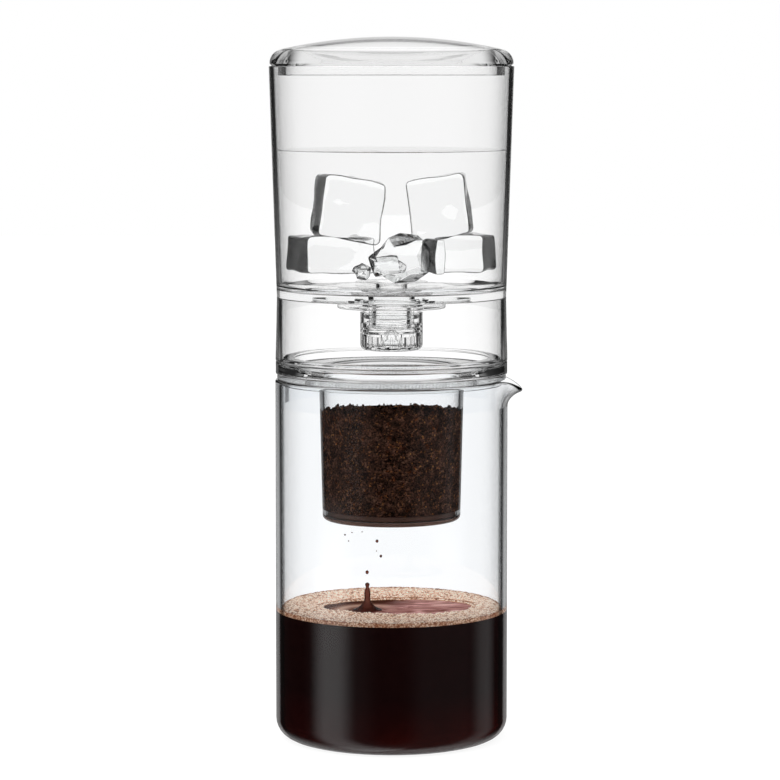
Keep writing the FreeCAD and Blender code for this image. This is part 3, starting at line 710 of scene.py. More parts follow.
def bowed(start: tuple[float, float], end: tuple[float, float], bulge: float, steps: int) -> Profile:
    """Points of an arc between two points.

    Args:
        start: first point.
        end: last point.
        bulge: height of the arc over its chord, as a share of the chord, to the right of the way.
        steps: number of chords.

    Returns:
        The points, both ends included.
    """
    way = Vector(end) - Vector(start)
    half = way.length / 2
    height = 2 * half * bulge
    radius = (half ** 2 + height ** 2) / (2 * height)
    right = Vector((way.y, -way.x)).normalized()
    middle = (Vector(start) + Vector(end)) / 2
    centre = middle - right * (radius - height)
    spread = math.asin(half / radius)
    points: Profile = []
    for step in range(steps + 1):
        angle = spread * (2 * step / steps - 1)
        place = centre + right * (radius * math.cos(angle)) + way.normalized() * (radius * math.sin(angle))
        points.append((place.x, place.y))
    return points


def dome(rim: tuple[float, float], crown: float, steps: int) -> Profile:
    """Points of an arc from a rim point up to the axis, where it is level.

    Args:
        rim: radius and height where it starts.
        crown: height on the axis.
        steps: number of chords.

    Returns:
        The points, both ends included.
    """
    rise = crown - rim[1]
    radius = (rim[0] ** 2 + rise ** 2) / (2 * rise)
    spread = math.asin(rim[0] / radius)
    points: Profile = []
    for step in range(steps + 1):
        angle = spread * (1 - step / steps)
        points.append((radius * math.sin(angle), crown - radius + radius * math.cos(angle)))
    return points


def turned(name: str, outline: Profile, closed: bool = True, steps: int = TURN_STEPS) -> bpy.types.Object:
    """Spins an outline about the vertical axis.

    Args:
        name: the piece's name.
        outline: (radius, height) points. A closed outline is a ring's section; an open one starts and
            ends on the axis.
        closed: whether the last point joins the first.
        steps: columns round the axis.

    Returns:
        The piece, a closed shell with its faces outwards.
    """
    piece = new_piece(name, bpy.ops.mesh.primitive_plane_add, size=MM)
    piece.data.name = name
    edit_all(piece)
    bpy.ops.mesh.merge(type="CENTER")
    way = [Vector((radius, 0.0, height)) * MM for radius, height in outline]
    bpy.ops.transform.translate(value=way[0])
    for before, after in zip(way, way[1:] + way[:1] if closed else way[1:]):
        bpy.ops.mesh.extrude_vertices_move(TRANSFORM_OT_translate={"value": after - before})
    bpy.ops.mesh.select_all(action="SELECT")
    bpy.ops.mesh.remove_doubles(threshold=WELD * MM)
    bpy.ops.mesh.select_all(action="SELECT")
    bpy.ops.mesh.spin(steps=steps, angle=2 * math.pi, center=(0, 0, 0), axis=(0, 0, 1))
    bpy.ops.mesh.select_all(action="SELECT")
    bpy.ops.mesh.remove_doubles(threshold=WELD * MM)
    bpy.ops.mesh.normals_make_consistent(inside=False)
    end_edit()
    return piece


def polished_copy(node: str) -> bpy.types.Object:
    """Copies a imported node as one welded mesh, so that its round faces can be shaded smooth.

    Args:
        node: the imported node's name.

    Returns:
        The copy, which stands for the node.
    """
    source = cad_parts[node]
    piece = bpy.data.objects.new(f"{node}_polished", source.data.copy())
    piece.data.materials.clear()
    bpy.context.scene.collection.objects.link(piece)
    edit_all(piece)
    bpy.ops.mesh.remove_doubles(threshold=WELD * MM)
    bpy.ops.mesh.customdata_custom_splitnormals_clear()
    end_edit()
    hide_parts(node)
    return piece


def smooth(piece: bpy.types.Object, angle: float = SMOOTH_ANGLE) -> None:
    """Shades round faces smooth, keeps crisp edges, and lets the large faces set the normals.

    Args:
        piece: the mesh.
        angle: degrees, past which an edge stays crisp.
    """
    select_only(piece)
    bpy.ops.object.shade_smooth_by_angle(angle=math.radians(angle))
    modifier = piece.modifiers.new("weighted", "WEIGHTED_NORMAL")
    modifier.keep_sharp = True
    bpy.ops.object.modifier_apply(modifier=modifier.name)


def dress(piece: bpy.types.Object, finish: Finish, body: Body,
          stands_for: Sequence[str] = ()) -> bpy.types.Object:
    """Gives a piece its finish and the body that it rides on.

    Args:
        piece: the finished mesh.
        finish: its main finish.
        body: the body that carries it.
        stands_for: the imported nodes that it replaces.

    Returns:
        The piece.
    """
    if not piece.data.materials:
        piece.data.materials.append(finish.material())
    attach(piece, body.value)
    if stands_for:
        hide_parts(*stands_for)
    log.info("%s: %d faces, %s", piece.name, len(piece.data.polygons), finish.name)
    return piece


def paint(piece: bpy.types.Object, pick: Callable[[Vector, Vector], Finish]) -> None:
    """Gives each face the finish that a rule picks.

    Args:
        piece: the mesh.
        pick: takes a face's centre in millimetres and its normal, and returns its finish.
    """
    slots: dict[Finish, int] = {}
    for face in piece.data.polygons:
        finish = pick(face.center / MM, face.normal)
        if finish not in slots:
            slots[finish] = len(slots)
            piece.data.materials.append(finish.material())
        face.material_index = slots[finish]


def outward(centre: Vector, normal: Vector) -> float:
    """How far a face looks away from the axis, from -1 to 1."""
    radial = Vector((centre.x, centre.y, 0.0))
    return radial.normalized().dot(normal) if radial.length > 0 else 0.0


def box_mm(node: str) -> tuple[Vector, Vector]:
    """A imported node's lowest and highest corners in millimetres."""
    low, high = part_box(node)
    return low / MM, high / MM


def scatter(piece: bpy.types.Object, moves: Sequence[Matrix]) -> None:
    """Sets copies of a small mesh at many places and joins them into one piece.

    Args:
        piece: the mesh, modelled at the origin. It becomes the whole.
        moves: the move of each copy, the first of which is the piece's own.
    """
    shape = piece.data.copy()
    copies = [piece]
    for _ in moves[1:]:
        copies.append(bpy.data.objects.new(piece.name, shape.copy()))
        bpy.context.scene.collection.objects.link(copies[-1])
    deselect_all()
    for item, move in zip(copies, moves):
        item.data.transform(move)
        item.select_set(True)
    bpy.context.view_layer.objects.active = piece
    bpy.ops.object.join()


def wobble(piece: bpy.types.Object, size: float, depth: float, seed: int) -> None:
    """Moves every vertex along its normal by smooth noise.

    Args:
        piece: the mesh.
        size: millimetres between swells.
        depth: most that a vertex moves, in millimetres.
        seed: shifts the noise, so that copies differ.
    """
    shift = Vector((seed * 17.3, seed * 5.1, seed * 9.7))
    moves = [noise.noise(vertex.co / (size * MM) + shift) * depth * MM * vertex.normal
             for vertex in piece.data.vertices]
    for vertex, move in zip(piece.data.vertices, moves):
        vertex.co += move


# ---------------------------------------------------------------- lid

@dataclass
class Lid:
    """Domed cover with a plug ring that drops into the tank's mouth."""

    edge_undercut: float = 0.9
    edge_height: float = 2.1
    shoulder_width: float = 5.1
    shoulder_height: float = 7.0
    crown_thickness: float = 2.2
    plug_inset: float = 3.5       # edge to the plug's face
    plug_wall: float = 3.1
    plug_round: float = 0.45
    haunch_width: float = 4.9
    haunch_thickness: float = 2.0
    haunch_drop: float = 4.2
    shoulder_bulge: float = 0.16

    def __post_init__(self) -> None:
        """Works out the heights that the section and the finishes share."""
        self.low, self.high = box_mm("lid")
        self.rim = box_mm("water_tank")[1].z

    def outline(self) -> Profile:
        """Draws the lid's section.

        Returns:
            The outline, from the axis under the crown round to the axis on top.
        """
        low, high, rim = self.low, self.high, self.rim
        radius = high.x
        shoulder = (radius - self.shoulder_width, rim + self.shoulder_height)
        plug_radius = radius - self.plug_inset
        bore = plug_radius - self.plug_wall
        haunch = (bore - self.haunch_width, shoulder[1] - self.haunch_thickness)
        under = list(reversed(dome(haunch, high.z - self.crown_thickness, steps=28)))
        plug = rounded([
            (bore, haunch[1] - self.haunch_drop), (bore, low.z, self.plug_round),
            (plug_radius, low.z, self.plug_round), (plug_radius, rim),
            (radius - self.edge_undercut, rim), (radius, rim + self.edge_undercut),
        ])
        top = bowed((radius, rim + self.edge_height), shoulder, self.shoulder_bulge, steps=8)
        return under + plug + top + dome(shoulder, high.z, steps=32)[1:]

    def finish_at(self, centre: Vector, normal: Vector) -> Finish:
        """The lid's finish at a face: its dome, its undersides, its small rounds and the rest.

        Args:
            centre: the face's middle, in millimetres.
            normal: the way it looks.

        Returns:
            The finish.
        """
        if normal.z > LEVEL and centre.z > self.rim + self.shoulder_height:
            return LID_DOME
        if normal.z < -LEVEL and centre.z < self.rim + NEAR:
            return WETTED
        if centre.z < self.low.z + self.plug_round:
            return LID_EDGE_SHADE
        return LID_PLASTIC

    def build(self) -> None:
        """Makes and dresses the lid."""
        piece = turned("lid_dome", self.outline(), closed=False)
        smooth(piece)
        paint(piece, self.finish_at)
        dress(piece, LID_PLASTIC, Body.LID, ["lid"])


# ---------------------------------------------------------------- tank

@dataclass
class WaterTank:
    """Clear tank on its skirt."""

    skirt_wall: float = 2.6
    skirt_flare: float = 0.6
    skirt_draft: float = 0.2
    tank_flare: float = 3.0
    wall: float = 2.0
    floor: float = 2.7
    inner_round: float = 4.0
    edge_round: float = 0.5
    hole_radius: float = 10.5

    def __post_init__(self) -> None:
        """Works out the heights and radii that the contents share."""
        low, high = box_mm("water_tank")
        self.foot = low.z
        self.rim = high.z
        self.top_radius = high.x
        self.underside = box_mm("clamp_nut_washer")[1].z
        self.floor_top = self.underside + self.floor
        self.waist = self.top_radius - self.tank_flare
        self.foot_radius = self.waist + self.skirt_flare

    def bore_at(self, height: float) -> float:
        """The tank's inside radius at a height above its floor."""
        share = (height - self.floor_top) / (self.rim - self.floor_top)
        return self.waist - self.wall + self.tank_flare * share

    def outline(self) -> Profile:
        """Draws the tank's section.

        Returns:
            The closed outline, up the outside from the skirt's foot and back down the inside.
        """
        skirt_bore = self.foot_radius - self.skirt_wall
        return rounded([
            (skirt_bore, self.foot, self.edge_round), (self.foot_radius, self.foot, self.edge_round),
            (self.waist, self.underside), (self.top_radius, self.rim, self.edge_round),
            (self.top_radius - self.wall, self.rim, self.edge_round),
            (self.waist - self.wall, self.floor_top, self.inner_round), (self.hole_radius, self.floor_top),
            (self.hole_radius, self.underside),
            (skirt_bore - self.skirt_draft, self.underside, self.edge_round),
        ])

    def finish_at(self, centre: Vector, normal: Vector) -> Finish:
        """The tank's finish at a face: its wet floor, the underside and the hole, its bore and the rest.

        Args:
            centre: the face's middle, in millimetres.
            normal: the way it looks.

        Returns:
            The finish.
        """
        if normal.z > SLOPING and centre.z < self.floor_top + self.inner_round:
            return WET_FLOOR
        under = normal.z < -LEVEL and centre.z > self.underside - NEAR
        if under or Vector(centre.xy).length < self.hole_radius + NEAR:
            return WETTED
        return TANK_PLASTIC_INSIDE if outward(centre, normal) < INWARD else TANK_PLASTIC

    def build(self) -> None:
        """Makes and dresses the tank."""
        piece = turned("tank_shell", self.outline())
        smooth(piece)
        paint(piece, self.finish_at)
        dress(piece, TANK_PLASTIC, Body.TANK, ["water_tank"])


@dataclass
class IceCube:
    """One melting cube: centre, edges, turn and lean."""

    centre: tuple[float, float, float]
    edges: tuple[float, float, float]
    turn: float                   # degrees about the vertical
    lean: float                   # degrees about the line from front to back
    melt: float = 2.2             # rounding of its edges


@dataclass
class IceShard:
    """One cracked splinter: centre, size, and the seed of its facets."""

    centre: tuple[float, float, float]
    size: tuple[float, float, float]
    seed: int


@dataclass
class TankFilling:
    """Water up to its line, and the ice in it."""

    tank: WaterTank
    water_line: float = 244.4
    meniscus: tuple[tuple[float, float], ...] = ((0.0, 0.35), (0.25, 0.12), (0.7, 0.0))   # (from wall, rise)
    climb_width: float = 1.2      # of the ring by the wall where the water climbs
    film: float = 0.05            # between the water and the walls
    flange_radius: float = 15.0
    lit_side: float = 0.15        # a cube's faces that look further back than this bend nothing
    melt_swell: float = 11.0      # between the swells of a melted face
    melt_depth: float = 1.4       # of those swells
    melt_crisp: float = 80.0      # degrees, past which a melted edge stays crisp
    facet_angle: float = 33.0     # degrees, under which a splinter's faces become one
    shard_lumps: float = 1.1      # lumps in each half of a splinter's length
    shard_relief: float = 0.6     # share of its size that they stand out
    shard_round: float = 0.35
    shard_crisp: float = 20.0     # degrees, past which a splinter's edge stays crisp
    cubes: tuple[IceCube, ...] = (
        IceCube((-18.0, -6.0, 220.5), (26.0, 22.0, 25.5), 13.0, 8.5),
        IceCube((20.0, -2.0, 221.0), (24.0, 20.0, 25.5), -8.0, -9.0),
        IceCube((-25.3, -4.0, 201.8), (29.5, 26.0, 15.0), 25.0, 1.0, 1.6),
        IceCube((30.3, -3.0, 202.2), (21.5, 20.0, 15.0), -22.0, -1.0, 1.6),
        # The fifth is a thin sliver, set by the lower right cube for the dark band of painted shade that its
        # turned faces give.
        IceCube((17.0, -13.5, 201.5), (3.6, 15.0, 14.5), 25.0, 1.0, 0.8),
    )
    shards: tuple[IceShard, ...] = (
        IceShard((3.6, -9.0, 200.5), (11.5, 8.0, 9.5), 8),
        IceShard((-1.5, -19.0, 198.0), (7.0, 3.5, 4.5), 3),
        IceShard((-12.0, -19.0, 195.5), (3.6, 3.0, 3.6), 14),
    )

    def water_finish_at(self, centre: Vector, normal: Vector) -> Finish:
        """Water on top, and nothing to see where it wets a wall or climbs the far one.

        Args:
            centre: the face's middle, in millimetres.
            normal: the way it looks.

        Returns:
            The finish.
        """
        wall = self.tank.bore_at(self.water_line)
        climbing = centre.y > 0 and Vector(centre.xy).length > wall - self.climb_width
        return WETTED if climbing or centre.z < self.water_line - NEAR else WATER

    def ice_finish_at(self, centre: Vector, normal: Vector) -> Finish:
        """Ice in front, and nothing to see behind it, since water and ice bend light alike."""
        return ICE if normal.y < self.lit_side else WETTED

    def water(self) -> None:
        """The water, stepped over the valve's flange, with a meniscus at the wall."""
        floor = self.tank.floor_top + self.film
        over_flange = box_mm("valve_body")[1].z + self.film
        flange = self.flange_radius + self.film
        wall_foot = self.tank.bore_at(self.tank.floor_top) - self.film
        wall_top = self.tank.bore_at(self.water_line) - self.film
        climb = [(wall_top - away, self.water_line + rise) for away, rise in self.meniscus]
        outline = rounded([(0.0, over_flange), (flange, over_flange), (flange, floor),
                           (wall_foot, floor, self.tank.inner_round), climb[0]])
        outline += climb[1:] + [(wall_top * share, self.water_line) for share in (0.7, 0.4, 0.0)]
        piece = turned("brewing_water", outline, closed=False)
        smooth(piece)
        paint(piece, self.water_finish_at)
        dress(piece, WATER, Body.TANK)

    def cube(self, number: int, plan: IceCube) -> None:
        """One ice cube: a box bevelled, divided and melted out of true.

        Args:
            number: its number, which also shifts its melting.
            plan: its size and place.
        """
        piece = new_piece(f"ice_cube_{number}", bpy.ops.mesh.primitive_cube_add, size=1.0)
        edit_all(piece)
        bpy.ops.transform.resize(value=[edge * MM for edge in plan.edges])
        bpy.ops.mesh.bevel(offset=plan.melt * MM, segments=3, affect="EDGES")
        bpy.ops.mesh.select_all(action="SELECT")
        bpy.ops.mesh.subdivide(number_cuts=4)
        bpy.ops.mesh.vertices_smooth(factor=0.5, repeat=3)
        end_edit()
        wobble(piece, self.melt_swell, self.melt_depth, number)
        turn = Matrix.Rotation(math.radians(plan.turn), 4, "Z")
        lean = Matrix.Rotation(math.radians(plan.lean), 4, "Y")
        piece.data.transform(Matrix.Translation(Vector(plan.centre) * MM) @ (turn @ lean))
        smooth(piece, self.melt_crisp)
        paint(piece, self.ice_finish_at)
        dress(piece, ICE, Body.TANK)

    def shard(self, number: int, plan: IceShard) -> None:
        """One splinter: a coarse ball pulled into facets.

        Args:
            number: its number.
            plan: its size and place.
        """
        piece = new_piece(f"ice_shard_{number}", bpy.ops.mesh.primitive_ico_sphere_add, subdivisions=2,
                          radius=1.0)
        for vertex in piece.data.vertices:
            place = vertex.co * self.shard_lumps + Vector((plan.seed, 0.0, 0.0))
            vertex.co *= 1.0 + self.shard_relief * noise.noise(place)
        edit_all(piece)
        bpy.ops.transform.resize(value=[size * MM for size in plan.size], center_override=(0, 0, 0))
        bpy.ops.mesh.dissolve_limited(angle_limit=math.radians(self.facet_angle))
        bpy.ops.mesh.select_all(action="SELECT")
        bpy.ops.mesh.bevel(offset=self.shard_round * MM, segments=2, affect="EDGES")
        end_edit()
        piece.data.transform(Matrix.Translation(Vector(plan.centre) * MM))
        smooth(piece, self.shard_crisp)
        dress(piece, ICE, Body.TANK)

    def build(self) -> None:
        """Makes and dresses the water and the ice."""
        self.water()
        for number, plan in enumerate(self.cubes, start=1):
            self.cube(number, plan)
        for number, plan in enumerate(self.shards, start=1):
            self.shard(number, plan)


# ---------------------------------------------------------------- valve

@dataclass
class DripValve:
    """The valve's small parts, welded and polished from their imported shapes."""

    tank: WaterTank
    crisp: float = 28.0           # degrees, past which an edge stays crisp
    clamped_depth: float = 2.5    # under the tank's floor, down to the nut's top
    parts: tuple[tuple[str, Body, Slot], ...] = (
        ("valve_body", Body.TANK, Slot.CLEAR), ("clamp_nut", Body.TANK, Slot.CLEAR),
        ("valve_knob", Body.KNOB, Slot.CLEAR), ("valve_body_gasket", Body.TANK, Slot.SILICONE),
        ("clamp_nut_washer", Body.TANK, Slot.SILICONE), ("knob_o_ring", Body.TANK, Slot.SILICONE),
        ("valve_plug", Body.PLUG, Slot.SILICONE),
    )

    def finish_at(self, dry: Finish, centre: Vector, normal: Vector) -> Finish:
        """A part's finish at a face: nothing bends in the tank's floor, and little under the water.

        Args:
            dry: the part's finish in air.
            centre: the face's middle, in millimetres.
            normal: the way it looks.

        Returns:
            The finish.
        """
        if normal.z > SLOPING and centre.z > self.tank.floor_top + NEAR:
            return WET_FLOOR
        clamped = normal.z > SLOPING and centre.z > self.tank.underside - self.clamped_depth
        return WETTED if clamped or centre.z > self.tank.underside - NEAR else dry

    def build(self) -> None:
        """Makes and dresses every part."""
        for node, body, slot in self.parts:
            piece = polished_copy(node)
            smooth(piece, self.crisp)
            finish = SILICONE if slot is Slot.SILICONE else SMALL_PLASTIC
            paint(piece, partial(self.finish_at, finish))
            dress(piece, finish, body)


# ---------------------------------------------------------------- container

@dataclass
class CoffeeContainer:
    """Ring, lip, plate and hanging cup, with the gasket under the ring and the filter in the cup's foot."""

    ring_round: float = 0.7
    gasket_top: float = 152.2
    plate_sink: float = 2.6
    plate: float = 2.4
    lip_height: float = 1.5
    lip_radius: float = 45.1
    lip_wall: float = 4.7
    spigot_radius: float = 43.7
    spigot_wall: float = 2.0
    spigot_short: float = 0.5
    cup_radius: float = 30.1
    cup_taper: float = 1.5
    cup_wall: float = 1.8
    cup_floor: float = 1.6
    cup_foot_round: float = 2.0
    mouth_round: float = 2.0
    corner_round: float = 1.0
    stain_height: float = 3.0     # above the cup's floor
    grid_opening: float = 24.4
    grid_bar: float = 1.5
    grid_tie_inset: float = 12.0  # from the opening to the ring that ties the bars
    grid_round: float = 0.2
    grid_bars: int = 3
    gasket_lip: float = 1.7       # thickness of the gasket's skirt inside the glass
    gasket_round: float = 0.6

    def __post_init__(self) -> None:
        """Works out the heights that the gasket and the grounds share."""
        low, high = box_mm("coffee_container")
        self.foot = low.z
        self.ring_radius = high.x
        self.ring_top = high.z - self.lip_height
        self.plate_top = self.ring_top - self.plate_sink
        self.plate_foot = self.plate_top - self.plate
        self.floor_top = self.foot + self.cup_floor
        self.foot_bore = self.cup_radius - self.cup_taper - self.cup_wall
        self.gasket_foot = box_mm("carafe_gasket")[0].z

    def bore_at(self, height: float) -> float:
        """The cup's inside radius at a height above its floor."""
        share = (height - self.floor_top) / (self.plate_top - self.floor_top)
        return self.foot_bore + self.cup_taper * share

    def outline(self) -> Profile:
        """Draws the container's section, without the grid.

        Returns:
            The closed outline, up the outside from the cup's foot and back down the inside.
        """
        spigot_bore = self.spigot_radius - self.spigot_wall
        lip_bore = self.lip_radius - self.lip_wall
        lip_top = self.ring_top + self.lip_height
        return rounded([
            (self.grid_opening, self.foot),
            (self.cup_radius - self.cup_taper, self.foot, self.cup_foot_round),
            (self.cup_radius, self.plate_foot, self.corner_round),
            (spigot_bore, self.plate_foot, self.corner_round),
            (spigot_bore, self.gasket_foot + self.spigot_short),
            (self.spigot_radius, self.gasket_foot + self.spigot_short, self.ring_round),
            (self.spigot_radius, self.gasket_top), (self.ring_radius, self.gasket_top, self.ring_round),
            (self.ring_radius, self.ring_top, self.ring_round), (self.lip_radius, self.ring_top),
            (self.lip_radius, lip_top, self.ring_round), (lip_bore, lip_top, self.ring_round),
            (lip_bore, self.plate_top, self.corner_round),
            (self.cup_radius - self.cup_wall, self.plate_top, self.mouth_round),
            (self.foot_bore, self.floor_top), (self.grid_opening, self.floor_top),
        ])

    def finish_at(self, centre: Vector, normal: Vector) -> Finish:
        """The shell's finish at a face: clear above, stained by the brew towards its foot.

        Args:
            centre: the face's middle, in millimetres.
            normal: the way it looks.

        Returns:
            The finish.
        """
        if centre.z < self.foot + self.cup_foot_round:
            return BREW_FILM
        return STAINED_PLASTIC if centre.z < self.floor_top + self.stain_height else SMALL_PLASTIC

    def build_shell(self) -> None:
        """Makes and dresses the container's clear shell."""
        piece = turned("container_shell", self.outline())
        smooth(piece)
        paint(piece, self.finish_at)
        dress(piece, SMALL_PLASTIC, Body.CONTAINER, ["coffee_container"])

    def build_grid(self) -> None:
        """Makes the bars that cross the cup's open floor and the ring that ties them."""
        inner = self.grid_opening - self.grid_tie_inset - self.grid_bar / 2
        outer = self.grid_opening - self.grid_tie_inset + self.grid_bar / 2
        tie = turned("cup_floor_tie", [
            (inner, self.foot), (outer, self.foot), (outer, self.floor_top), (inner, self.floor_top),
        ], steps=64)
        smooth(tie)
        dress(tie, STAINED_PLASTIC, Body.CONTAINER)
        middle = Matrix.Translation((0, 0, (self.foot + self.cup_floor / 2) * MM))
        for index in range(self.grid_bars):
            piece = new_piece(f"cup_floor_bar_{index + 1}", bpy.ops.mesh.primitive_cube_add, size=1.0)
            edit_all(piece)
            sizes = (2 * self.grid_opening, self.grid_bar, self.cup_floor)
            bpy.ops.transform.resize(value=[size * MM for size in sizes])
            bpy.ops.mesh.bevel(offset=self.grid_round * MM, segments=2, affect="EDGES")
            end_edit()
            piece.data.transform(middle @ Matrix.Rotation(math.pi * index / self.grid_bars, 4, "Z"))
            smooth(piece)
            dress(piece, STAINED_PLASTIC, Body.CONTAINER)

    def build_gasket(self) -> None:
        """Makes and dresses the silicone ring between the glass and the container."""
        flange = box_mm("carafe_gasket")[1].x
        rim = box_mm("carafe")[1].z
        lip = self.spigot_radius + self.gasket_lip
        piece = turned("carafe_gasket_ring", rounded([
            (self.spigot_radius, self.gasket_foot), (lip, self.gasket_foot, self.gasket_round),
            (lip, rim), (flange, rim, self.gasket_round),
            (flange, self.gasket_top), (self.spigot_radius, self.gasket_top),
        ]))
        smooth(piece)
        dress(piece, SILICONE, Body.CONTAINER, ["carafe_gasket"])

    def build(self) -> None:
        """Makes and dresses the container and what it carries."""
        self.build_shell()
        self.build_grid()
        self.build_gasket()
        for node, finish in (("filter_mesh", STEEL), ("filter_clamp_ring", FROSTED)):
            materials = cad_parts[node].data.materials
            materials.clear()
            materials.append(finish.material())


@dataclass
class GroundsBed:
    """Wet grounds that fill the cup, with a crumbly top."""

    cup: CoffeeContainer
    top: float = 137.0
    slope: float = 0.1            # fall of the bed for each millimetre further back
    # Broad swells, lumps and grains: (mm between them, layer of the noise, mm that they rise).
    swells: tuple[tuple[float, float, float], ...] = ((14.0, 3.1, 1.6), (3.2, 8.4, 2.0), (1.1, 1.7, 1.1))
    bite: float = 0.05            # into the cup's wall, so that no air shows between
    foot_gap: float = 0.1         # over the filter and its ring
    foot_inset: float = 2.0       # of the part that stands inside the ring
    top_inset: float = 0.6        # from the wall to the first column that rises and falls
    crumbs: int = 420
    crumb_inset: float = 1.2      # from the cup's wall
    crumb_lift: tuple[float, float] = (-0.1, 0.8)
    crumb_size: tuple[float, float] = (0.35, 1.05)
    crumb_lumps: float = 1.7      # lumps in each half of a particle
    crumb_relief: float = 0.35    # share of its size that they stand out
    seed: int = 11

    def surface(self, x: float, y: float) -> float:
        """Height of the crumbly top over a point.

        Args:
            x: millimetres to the right of the axis.
            y: millimetres behind it.

        Returns:
            Millimetres over the top's mean height.
        """
        rise = sum(noise.noise(Vector((x / size, y / size, layer))) * height
                   for size, layer, height in self.swells)
        return rise - self.slope * y

    def bed(self) -> None:
        """The bed itself, displaced where it is open to the air."""
        ring = box_mm("filter_clamp_ring")[1]
        foot = box_mm("filter_mesh")[1].z + self.foot_gap
        foot_radius = ring.x - self.foot_inset
        shelf = ring.z + self.foot_gap
        outer = self.cup.bore_at(shelf) + self.bite
        mouth = self.cup.bore_at(self.top) + self.bite
        outline = [(0.0, foot), (foot_radius, foot), (foot_radius, shelf)]
        outline += run((outer, shelf), (mouth, self.top), steps=40)
        outline += run((mouth - self.top_inset, self.top), (0.0, self.top), steps=44)
        piece = turned("coffee_grounds", outline, closed=False, steps=240)
        for vertex in piece.data.vertices:
            place = vertex.co / MM
            if place.z > self.top - TOUCH:
                vertex.co.z += self.surface(place.x, place.y) * MM
        select_only(piece)
        bpy.ops.object.shade_smooth()
        dress(piece, GROUNDS, Body.CONTAINER)

    def loose(self) -> None:
        """Loose particles on the bed, from one crumpled grain."""
        rng = random.Random(self.seed)
        grain = new_piece("loose_grounds", bpy.ops.mesh.primitive_ico_sphere_add, subdivisions=1, radius=1.0)
        edit_all(grain)
        bpy.ops.transform.resize(value=(1.0, 0.8, 0.7))
        end_edit()
        for vertex in grain.data.vertices:
            vertex.co *= 1.0 + self.crumb_relief * noise.noise(vertex.co * self.crumb_lumps)
        moves: list[Matrix] = []
        for _ in range(self.crumbs):
            angle = rng.uniform(0, 2 * math.pi)
            reach = (self.cup.bore_at(self.top) - self.crumb_inset) * math.sqrt(rng.random())
            x, y = reach * math.cos(angle), reach * math.sin(angle)
            place = Vector((x, y, self.top + self.surface(x, y) + rng.uniform(*self.crumb_lift)))
            size = rng.uniform(*self.crumb_size)
            turned_by = rng.uniform(0, 6.28)
            about = Vector((rng.random(), rng.random(), rng.random() + 0.1))
            moves.append(Matrix.Translation(place * MM) @ Matrix.Rotation(turned_by, 4, about)
                         @ Matrix.Scale(size * MM, 4))
        scatter(grain, moves)
        dress(grain, GROUNDS, Body.CONTAINER)

    def build(self) -> None:
        """Makes and dresses the grounds."""
        self.bed()
        self.loose()


# ---------------------------------------------------------------- carafe

